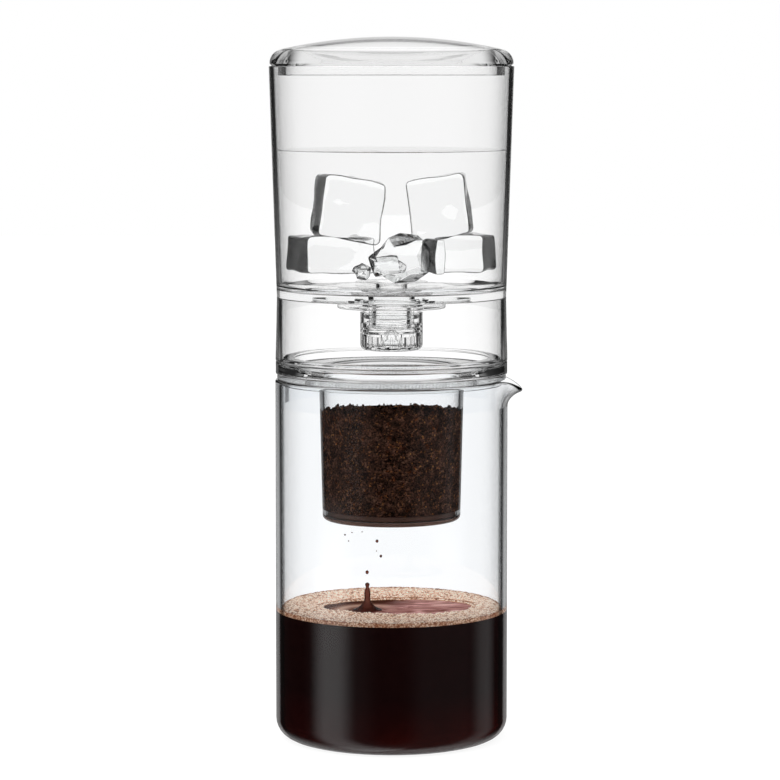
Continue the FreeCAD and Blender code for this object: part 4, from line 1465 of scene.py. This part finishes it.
@dataclass
class Carafe:
    """Glass beaker with a lip drawn out of its rim."""

    wall: float = 2.4
    floor: float = 3.0
    foot_round: float = 8.0
    inner_round: float = 6.0
    rim_round: float = 1.0
    lip_start: float = 11.0       # below the rim
    lip_half_angle: float = 27.0
    lip_reach: float = 6.25       # of the outer face; the rim's round adds the rest
    lip_curl: float = 4.2
    lip_rise: float = 1.5
    lip_thin: float = 0.75        # share of the wall left at the tip
    lip_power: float = 1.8        # how late the rim falls on its way to the tip

    def __post_init__(self) -> None:
        """Works out the radii and heights that the coffee shares."""
        low, high = box_mm("carafe")
        self.radius = -low.x
        self.rim = high.z
        self.bore = self.radius - self.wall

    def outline(self) -> Profile:
        """Draws the beaker's section as it is before the lip is drawn out.

        Returns:
            The outline, from the axis under the foot round to the axis on the floor.
        """
        start = self.rim - self.lip_start
        outer = rounded([(0.0, 0.0), (self.radius, 0.0, self.foot_round), (self.radius, start)])
        inner = rounded([(self.bore, start), (self.bore, self.floor, self.inner_round), (0.0, self.floor)])
        round_start = self.rim - self.rim_round
        steps = round(self.lip_start)
        edge = rounded([
            (self.radius, round_start), (self.radius, self.rim, self.rim_round),
            (self.bore, self.rim, self.rim_round), (self.bore, round_start),
        ])
        up = run((self.radius, start), (self.radius, round_start), steps)[1:-1]
        down = run((self.bore, round_start), (self.bore, start), steps)[1:-1]
        return outer + up + edge[1:-1] + down + inner

    def lip_face(self, share: float, spread: float) -> Vector:
        """A point of the lip's outer face.

        Args:
            share: 0 where the lip starts, 1 at the rim.
            spread: 1 in the middle of the lip, 0 at its edges.

        Returns:
            Reach beyond the wall and height above the lip's start.
        """
        turn = math.pi / 2 * share
        out = 1 - math.cos(turn)
        curled = self.lip_curl * math.sin(turn) + self.lip_rise * out
        fallen = spread ** self.lip_power
        height = self.lip_start * share * (1 - fallen) + curled * fallen
        return Vector((self.lip_reach * out * spread, height))

    def lip_point(self, share: float, spread: float) -> tuple[Vector, Vector]:
        """A point of the lip's outer face and the way into its wall.

        Args:
            share: 0 where the lip starts, 1 at the rim.
            spread: 1 in the middle of the lip, 0 at its edges.

        Returns:
            That face's point and the unit way into the wall.
        """
        step = 0.01
        way = (self.lip_face(share + step, spread) - self.lip_face(share - step, spread)).normalized()
        return self.lip_face(share, spread), Vector((-way.y, way.x))

    def draw_lip(self, piece: bpy.types.Object) -> None:
        """Bends the rim outwards round +X, as a glassworker draws a lip.

        Args:
            piece: the turned beaker.
        """
        start = self.rim - self.lip_start
        for vertex in piece.data.vertices:
            place = vertex.co / MM
            angle = math.degrees(math.atan2(place.y, place.x))
            out = Vector(place.xy).length
            if place.z <= start or abs(angle) >= self.lip_half_angle or out < self.bore - NEAR:
                continue
            spread = math.cos(math.pi / 2 * angle / self.lip_half_angle) ** 2
            share = (place.z - start) / self.lip_start
            depth = self.radius - out
            point, inwards = self.lip_point(share, spread)
            thinned = depth * (1 - (1 - self.lip_thin) * spread * share)
            section = Vector((self.radius, start)) + point + inwards * thinned
            radial = Vector((math.cos(math.radians(angle)), math.sin(math.radians(angle)), 0.0))
            vertex.co = (radial * section.x + Vector((0, 0, section.y))) * MM

    def finish_at(self, centre: Vector, normal: Vector) -> Finish:
        """The glass's finish at a face: its lip, its bore and the rest.

        Args:
            centre: the face's middle, in millimetres.
            normal: the way it looks.

        Returns:
            The finish.
        """
        drawn = centre.z > self.rim - self.lip_start
        if drawn and abs(math.degrees(math.atan2(centre.y, centre.x))) < self.lip_half_angle:
            return LIP_GLASS
        return DRAWN_GLASS_INSIDE if outward(centre, normal) < INWARD and not drawn else DRAWN_GLASS

    def build(self) -> None:
        """Makes and dresses the carafe."""
        piece = turned("carafe_glass", self.outline(), closed=False, steps=240)
        self.draw_lip(piece)
        smooth(piece)
        paint(piece, self.finish_at)
        dress(piece, DRAWN_GLASS, Body.CARAFE, ["carafe"])


@dataclass
class CarafeFilling:
    """Brewed coffee with its foam, the splash of a falling drop, and the drops above it."""

    carafe: Carafe
    level: float = 54.0
    bite: float = 0.05            # into the glass, so that no air shows between
    top_inset: float = 1.0        # from the glass to the first column that ripples
    ripple_height: float = 0.45
    ripple_rate: float = 1.25     # radians of wave for each millimetre out
    ripple_reach: float = 9.0     # over which the ripple dies down
    open_half_width: float = 32.0  # of the open coffee inside the foam, left to right and front to back
    open_half_depth: float = 19.5
    open_centre: tuple[float, float] = (3.0, 0.0)
    foam_depth: float = 0.6       # under the coffee's level
    foam_height: float = 0.9      # over it
    foam_climb: float = 0.3       # that it rises more at the wall
    foam_bank: float = 0.8        # width of that rise
    foam_beach: float = 1.5       # width over which it slopes down to the open coffee
    foam_sag: float = 0.2         # that its top drops from the wall to there
    # The waves of its inner edge, and of its top: (density or size, layer of the noise, mm that they move).
    edge_waves: tuple[tuple[float, float, float], ...] = ((2.2, 4.0, 3.0), (14.0, 9.0, 1.2))
    top_wave: tuple[float, float, float] = (1.5, 2.0, 0.3)
    bubbles: int = 5200
    bubble_size: tuple[float, float] = (0.32, 0.64)
    bubble_inset: float = 0.7     # from the glass
    bubble_stray: float = 1.0     # that a bubble may lie out on the open coffee
    wall_bubbles: int = 800
    wall_bubble_size: tuple[float, float] = (0.3, 0.45)
    wall_bubble_inset: float = 0.45
    wall_bubble_depth: tuple[float, float] = (-0.4, 0.9)   # under the coffee's level
    splash: tuple[float, float] = (-10.0, -6.0)
    seed: int = 5
    drops: tuple[tuple[float, float, float, float], ...] = (   # (x, y, height, radius)
        (-10.1, -6.0, 69.8, 0.72), (-6.0, -3.0, 82.4, 0.6), (-4.4, -3.0, 76.1, 0.55),
        (-6.2, -3.0, 78.2, 0.2), (-19.3, -4.0, 85.2, 0.35), (-17.8, -4.0, 82.6, 0.26),
        (-16.4, -4.0, 86.1, 0.24), (-12.2, -4.0, 86.4, 0.24),
    )

    def coffee_finish_at(self, centre: Vector, normal: Vector) -> Finish:
        """The coffee's finish at a face: its open top, and the rest against the glass."""
        on_top = centre.z > self.level - self.foam_depth and normal.z > SLOPING
        return COFFEE_TOP if on_top else COFFEE

    def coffee(self) -> None:
        """The coffee itself, with a ripple where drops fall."""
        radius = self.carafe.bore + self.bite
        floor = self.carafe.floor - self.bite
        outline = rounded([(0.0, floor), (radius, floor, self.carafe.inner_round), (radius, self.level)])
        outline += run((radius - self.top_inset, self.level), (0.0, self.level), steps=40)
        piece = turned("brewed_coffee", outline, closed=False)
        for vertex in piece.data.vertices:
            place = vertex.co / MM
            if place.z < self.level - TOUCH:
                continue
            away = math.hypot(place.x - self.splash[0], place.y - self.splash[1])
            left = self.ripple_height * math.exp(-away / self.ripple_reach)
            vertex.co.z += left * math.cos(away * self.ripple_rate) * MM
        select_only(piece)
        bpy.ops.object.shade_smooth_by_angle(angle=math.radians(SMOOTH_ANGLE))
        paint(piece, self.coffee_finish_at)
        dress(piece, COFFEE, Body.CARAFE)

    def foam_edge(self, angle: float) -> float:
        """The foam's ragged inner radius in one direction.

        Args:
            angle: the direction, in radians from +X.

        Returns:
            Millimetres from the axis.
        """
        across = math.cos(angle) / self.open_half_width
        along = math.sin(angle) / self.open_half_depth
        shift = math.cos(angle) * self.open_centre[0] + math.sin(angle) * self.open_centre[1]
        reach = 1 / math.hypot(across, along) + shift
        for density, layer, depth in self.edge_waves:
            place = Vector((math.cos(angle) * density, math.sin(angle) * density, layer))
            reach += noise.noise(place) * depth
        return reach

    def foam(self) -> None:
        """A low bank of froth round the wall."""
        outer = self.carafe.bore + 2 * self.bite
        inner = self.open_half_depth
        foot = self.level - self.foam_depth
        top = self.level + self.foam_height
        outline = [(inner, foot), (outer, foot), (outer, top + self.foam_climb)]
        beach = (inner + self.foam_beach, top - self.foam_sag)
        outline += run((outer - self.foam_bank, top), beach, steps=20)
        outline.append((inner, self.level + NEAR))
        piece = turned("coffee_foam", outline, steps=240)
        for vertex in piece.data.vertices:
            place = vertex.co / MM
            flat = Vector(place.xy)
            angle = math.atan2(place.y, place.x)
            share = (outer - flat.length) / (outer - inner)
            reach = outer - (outer - self.foam_edge(angle)) * share
            lift = 0.0
            if place.z > foot + NEAR:
                size, layer, height = self.top_wave
                lift = noise.noise(Vector((place.x / size, place.y / size, layer))) * height
            flat = flat.normalized() * reach
            vertex.co = Vector((flat.x, flat.y, place.z + lift)) * MM
        select_only(piece)
        bpy.ops.object.shade_smooth()
        dress(piece, FOAM, Body.CARAFE)

    def bubble_places(self, rng: random.Random) -> list[tuple[Vector, float]]:
        """Picks where the bubbles are: over the froth, and along the wall where its edge shows.

        Args:
            rng: the source of every draw.

        Returns:
            Each bubble's place and radius, in millimetres.
        """
        places: list[tuple[Vector, float]] = []
        for _ in range(self.bubbles):
            angle = rng.uniform(0, 2 * math.pi)
            inner = self.foam_edge(angle) - self.bubble_stray
            outer = self.carafe.bore - self.bubble_inset
            reach = math.sqrt(rng.uniform(inner ** 2, outer ** 2))
            afloat = reach <= inner + 2 * self.bubble_stray
            lift = NEAR if afloat else self.foam_height - self.foam_sag
            places.append((Vector((reach * math.cos(angle), reach * math.sin(angle), self.level + lift)),
                           rng.uniform(*self.bubble_size)))
        for _ in range(self.wall_bubbles):
            angle = rng.uniform(0, 2 * math.pi)
            reach = self.carafe.bore - self.wall_bubble_inset
            height = self.level - rng.uniform(*self.wall_bubble_depth)
            places.append((Vector((reach * math.cos(angle), reach * math.sin(angle), height)),
                           rng.uniform(*self.wall_bubble_size)))
        return places

    def bubbles_on_foam(self) -> None:
        """Bubbles on the froth, from one small ball."""
        rng = random.Random(self.seed)
        bubble = new_piece("foam_bubbles", bpy.ops.mesh.primitive_ico_sphere_add, subdivisions=1, radius=1.0)
        scatter(bubble, [
            Matrix.Translation(place * MM) @ Matrix.Rotation(rng.uniform(0, 1.5), 4, "Z")
            @ Matrix.Scale(size * MM, 4) for place, size in self.bubble_places(rng)
        ])
        bpy.ops.object.shade_smooth()
        dress(bubble, BUBBLE, Body.CARAFE)

    def splash_column(self) -> None:
        """The column that rebounds where a drop has fallen."""
        outline = [
            (0.0, -0.6), (7.2, -0.6), (6.2, 0.15), (4.6, 0.7), (3.2, 1.5), (2.1, 2.6), (1.5, 3.6),
            (1.15, 4.6), (1.2, 5.6), (1.35, 6.6), (1.25, 7.6), (1.0, 8.6), (0.72, 9.2), (0.62, 9.7),
            (0.85, 10.1), (1.0, 10.6), (0.8, 11.2), (0.3, 11.45), (0.0, 11.5),
        ]
        piece = turned("splash_column", [(radius, height + self.level) for radius, height in outline],
                       closed=False, steps=32)
        piece.data.transform(Matrix.Translation(Vector((*self.splash, 0.0)) * MM))
        select_only(piece)
        bpy.ops.object.modifier_add(type="SUBSURF")
        bpy.ops.object.modifier_apply(modifier=piece.modifiers[0].name)
        bpy.ops.object.shade_smooth()
        dress(piece, DROP, Body.CARAFE)

    def falling_drops(self) -> None:
        """Drops between the cup and the coffee."""
        for number, (x, y, z, size) in enumerate(self.drops, start=1):
            piece = new_piece(f"falling_drop_{number}", bpy.ops.mesh.primitive_uv_sphere_add, segments=20,
                              ring_count=12, radius=size * MM)
            edit_all(piece)
            bpy.ops.transform.resize(value=(1.0, 1.0, 1.12))
            end_edit()
            wobble(piece, size * 1.5, size * 0.15, number)
            piece.data.transform(Matrix.Translation(Vector((x, y, z)) * MM))
            select_only(piece)
            bpy.ops.object.shade_smooth()
            dress(piece, DROP, Body.CARAFE)

    def build(self) -> None:
        """Makes and dresses the carafe's contents."""
        self.coffee()
        self.foam()
        self.bubbles_on_foam()
        self.splash_column()
        self.falling_drops()


# ---------------------------------------------------------------- studio

@dataclass(frozen=True)
class Panel:
    """A light of the room that only reflections see."""

    azimuth: float                # degrees, 0 towards the front, 90 to the right
    elevation: float
    inner: float                  # degrees from its middle to where it starts to fade
    outer: float                  # degrees from its middle to where it ends
    strength: float
    round_edge: bool = False      # a disc, where the others are tall strips
    top: float = 90.0             # degrees up to which a strip reaches
    fade: float = 0.7             # degrees over and under that, through which it ends


@dataclass
class Studio:
    """Pale floor, soft light and the camera."""

    target: tuple[float, float, float] = (-0.62, 0.0, 145.1)
    elevation: float = 5.73       # degrees
    distance: float = 1327.0
    focal_px: float = 3200.0
    frame_px: float = 780.0
    sensor: float = 36.0
    floor_size: float = 8000.0
    lamp_place: tuple[float, float, float] = (-800.0, -900.0, 1500.0)
    lamp_aim: tuple[float, float, float] = (0.0, 0.0, 100.0)
    lamp_size: float = 900.0
    lamp_watts: float = 9.0
    room: tuple[Panel, ...] = (
        Panel(-62.0, 0.0, 5.0, 28.0, 1.15, top=-8.3),      # soft box on the left
        Panel(105.0, 0.0, 3.0, 22.0, 0.4),                 # soft box on the right
        Panel(-55.0, 0.0, 20.0, 45.0, 0.08),               # spill on both sides of the camera
        Panel(55.0, 0.0, 20.0, 45.0, 0.08),
        Panel(-158.0, -15.0, 6.0, 13.0, 0.4, True),        # far curve of the paper
        Panel(158.0, -15.0, 6.0, 13.0, 0.4, True),
        Panel(180.0, 0.0, 10.0, 14.0, 0.85, True),         # backdrop and its spill
        Panel(180.0, 0.0, 30.0, 85.0, 0.02),
        Panel(0.0, 90.0, 60.0, 84.0, 0.8, True),           # ceiling
        Panel(180.0, -60.0, 20.0, 50.0, 0.6, True),        # floor behind the object
    )

    def camera(self) -> None:
        """Makes the camera, which the scene is seen from."""
        tilt = math.radians(self.elevation)
        back = Vector((0.0, -math.cos(tilt), math.sin(tilt)))
        lens = bpy.data.cameras.new("camera")
        lens.sensor_width = self.sensor
        lens.lens = self.focal_px / self.frame_px * self.sensor
        lens.clip_start = 0.05
        lens.clip_end = 50.0
        camera = bpy.data.objects.new("camera", lens)
        camera.location = (Vector(self.target) + back * self.distance) * MM
        camera.rotation_euler = (-back).to_track_quat("-Z", "Y").to_euler()
        bpy.context.scene.collection.objects.link(camera)
        bpy.context.scene.camera = camera

    def floor(self) -> None:
        """A plain white floor that keeps a faint shadow and that reflections look past."""
        piece = new_piece("studio_floor", bpy.ops.mesh.primitive_plane_add, size=self.floor_size * MM)
        material = bpy.data.materials.new("paper_sweep_white")
        material.use_nodes = True
        tree = material.node_tree
        tree.nodes.clear()
        paper = add_node(tree, "ShaderNodeBsdfDiffuse", {"Color": linear("#F2F2F2")}).outputs["BSDF"]
        glow = add_node(tree, "ShaderNodeEmission", {
            "Color": linear("#FFFFFF"), "Strength": 1.1,
        }).outputs["Emission"]
        mixed = add_node(tree, "ShaderNodeMixShader", {0: 0.8, 1: paper, 2: glow}).outputs["Shader"]
        depth = add_node(tree, "ShaderNodeLightPath").outputs["Glossy Depth"]
        mirrored = add_node(tree, "ShaderNodeMath", {0: depth, 1: 0.5}, operation="GREATER_THAN").outputs[0]
        clear = add_node(tree, "ShaderNodeBsdfTransparent").outputs["BSDF"]
        floor = add_node(tree, "ShaderNodeMixShader", {0: mirrored, 1: mixed, 2: clear}).outputs["Shader"]
        add_node(tree, "ShaderNodeOutputMaterial", {"Surface": floor})
        piece.data.materials.append(material)

    def round_light(self, tree: bpy.types.NodeTree, way: Socket, light: Panel) -> Socket:
        """Strength of a round light.

        Args:
            tree: the world's node tree.
            way: the direction that is looked along.
            light: the light.

        Returns:
            Its strength along that way.
        """
        turn, tilt = math.radians(light.azimuth), math.radians(light.elevation)
        middle = (math.sin(turn) * math.cos(tilt), -math.cos(turn) * math.cos(tilt), math.sin(tilt))
        facing = add_node(tree, "ShaderNodeVectorMath", {0: way, 1: middle}, operation="DOT_PRODUCT")
        return add_node(tree, "ShaderNodeMapRange", {
            "Value": facing.outputs["Value"], "From Min": math.cos(math.radians(light.outer)),
            "From Max": math.cos(math.radians(light.inner)), "To Max": light.strength,
        }, interpolation_type="SMOOTHSTEP").outputs["Result"]

    def tall_light(self, tree: bpy.types.NodeTree, way: Socket, light: Panel) -> Socket:
        """Strength of a tall strip of light.

        Args:
            tree: the world's node tree.
            way: the direction that is looked along.
            light: the light.

        Returns:
            Its strength along that way.
        """
        turn = math.radians(light.azimuth)
        ahead = add_node(tree, "ShaderNodeVectorMath", {0: way, 1: (math.sin(turn), -math.cos(turn), 0.0)},
                         operation="DOT_PRODUCT").outputs["Value"]
        aside = add_node(tree, "ShaderNodeVectorMath", {0: way, 1: (math.cos(turn), math.sin(turn), 0.0)},
                         operation="DOT_PRODUCT").outputs["Value"]
        off = add_node(tree, "ShaderNodeMath", {0: aside}, operation="ABSOLUTE").outputs[0]
        strip = add_node(tree, "ShaderNodeMapRange", {
            "Value": off, "From Min": math.sin(math.radians(light.outer)),
            "From Max": math.sin(math.radians(light.inner)), "To Max": light.strength,
        }, interpolation_type="SMOOTHSTEP").outputs["Result"]
        front = add_node(tree, "ShaderNodeMath", {0: ahead, 1: 0.0}, operation="GREATER_THAN").outputs[0]
        near = add_node(tree, "ShaderNodeMath", {0: strip, 1: front}, operation="MULTIPLY").outputs[0]
        if light.top >= 90.0:
            return near
        height = add_node(tree, "ShaderNodeSeparateXYZ", {"Vector": way}).outputs["Z"]
        below = add_node(tree, "ShaderNodeMapRange", {
            "Value": height, "From Min": math.sin(math.radians(light.top + light.fade)),
            "From Max": math.sin(math.radians(light.top - light.fade)),
        }).outputs["Result"]
        return add_node(tree, "ShaderNodeMath", {0: near, 1: below}, operation="MULTIPLY").outputs[0]

    def world(self) -> None:
        """White to the eye, white through glass but for steep ways, and a room of lights to reflections."""
        world = bpy.data.worlds.new("studio")
        bpy.context.scene.world = world
        world.use_nodes = True
        tree = world.node_tree
        tree.nodes.clear()
        rays = add_node(tree, "ShaderNodeLightPath")
        way = add_node(tree, "ShaderNodeTexCoord").outputs["Generated"]
        parts = add_node(tree, "ShaderNodeSeparateXYZ", {"Vector": way})
        # Steeply up or down, what shows through glass is dimmer, and dimmest near the middle.
        steep = add_node(tree, "ShaderNodeMath", {0: parts.outputs["Z"]}, operation="ABSOLUTE").outputs[0]
        aside = add_node(tree, "ShaderNodeMath", {0: parts.outputs["X"]}, operation="ABSOLUTE").outputs[0]
        deep = add_node(tree, "ShaderNodeMapRange", {
            "Value": aside, "From Min": 0.05, "From Max": 0.5, "To Min": 0.2, "To Max": 0.75,
        }, interpolation_type="SMOOTHSTEP").outputs["Result"]
        through = add_node(tree, "ShaderNodeMapRange", {
            "Value": steep, "From Min": 0.35, "From Max": 0.7, "To Min": 1.0, "To Max": deep,
        }, interpolation_type="SMOOTHSTEP").outputs["Result"]
        # Reflections see the sum of the room's lights.
        mirrored: Socket | float = 0.0
        for light in self.room:
            mirrored_light = self.round_light if light.round_edge else self.tall_light
            panel = mirrored_light(tree, way, light)
            mirrored = add_node(tree, "ShaderNodeMath", {0: mirrored, 1: panel}, operation="ADD").outputs[0]
        straight = add_node(tree, "ShaderNodeMath", {0: rays.outputs["Glossy Depth"], 1: 0.5},
                            operation="LESS_THAN").outputs[0]
        passed = add_node(tree, "ShaderNodeMix", {0: straight, 2: mirrored, 3: through},
                          data_type="FLOAT").outputs[0]
        scattered = add_node(tree, "ShaderNodeMath", {0: rays.outputs["Diffuse Depth"], 1: 0.5},
                             operation="GREATER_THAN").outputs[0]
        lit = add_node(tree, "ShaderNodeMix", {0: scattered, 2: passed, 3: 1.2}, data_type="FLOAT").outputs[0]
        seen = add_node(tree, "ShaderNodeMix", {0: rays.outputs["Is Camera Ray"], 2: lit, 3: 1.0},
                        data_type="FLOAT").outputs[0]
        background = add_node(tree, "ShaderNodeBackground", {"Color": linear("#FFFFFF"), "Strength": seen})
        add_node(tree, "ShaderNodeOutputWorld", {"Surface": background.outputs["Background"]})

    def lamp(self) -> None:
        """One large key lamp for the shadow, which no clear piece mirrors."""
        lamp = bpy.data.lights.new("key_lamp", "AREA")
        lamp.shape = "DISK"
        lamp.size = self.lamp_size * MM
        lamp.energy = self.lamp_watts
        holder = bpy.data.objects.new("key_lamp", lamp)
        holder.location = Vector(self.lamp_place) * MM
        way = Vector(self.lamp_aim) * MM - holder.location
        holder.rotation_euler = way.to_track_quat("-Z", "Y").to_euler()
        holder.visible_glossy = False
        holder.visible_transmission = False
        bpy.context.scene.collection.objects.link(holder)

    def build(self) -> None:
        """Sets the stage and the colour handling."""
        self.camera()
        self.floor()
        self.world()
        self.lamp()
        scene = bpy.context.scene
        scene.view_settings.view_transform = "Standard"
        scene.cycles.max_bounces = 32
        scene.cycles.transmission_bounces = 32
        scene.cycles.glossy_bounces = 8
        scene.cycles.diffuse_bounces = 3
        scene.cycles.transparent_max_bounces = 16


def main() -> None:
    """Builds the stage, then every sub-assembly from the lid down."""
    logging.basicConfig(level=logging.INFO, format="%(name)s: %(message)s")
    Studio().build()
    Lid().build()
    tank = WaterTank()
    tank.build()
    TankFilling(tank).build()
    DripValve(tank).build()
    cup = CoffeeContainer()
    cup.build()
    GroundsBed(cup).build()
    carafe = Carafe()
    carafe.build()
    CarafeFilling(carafe).build()


if __name__ == "__main__":
    main()
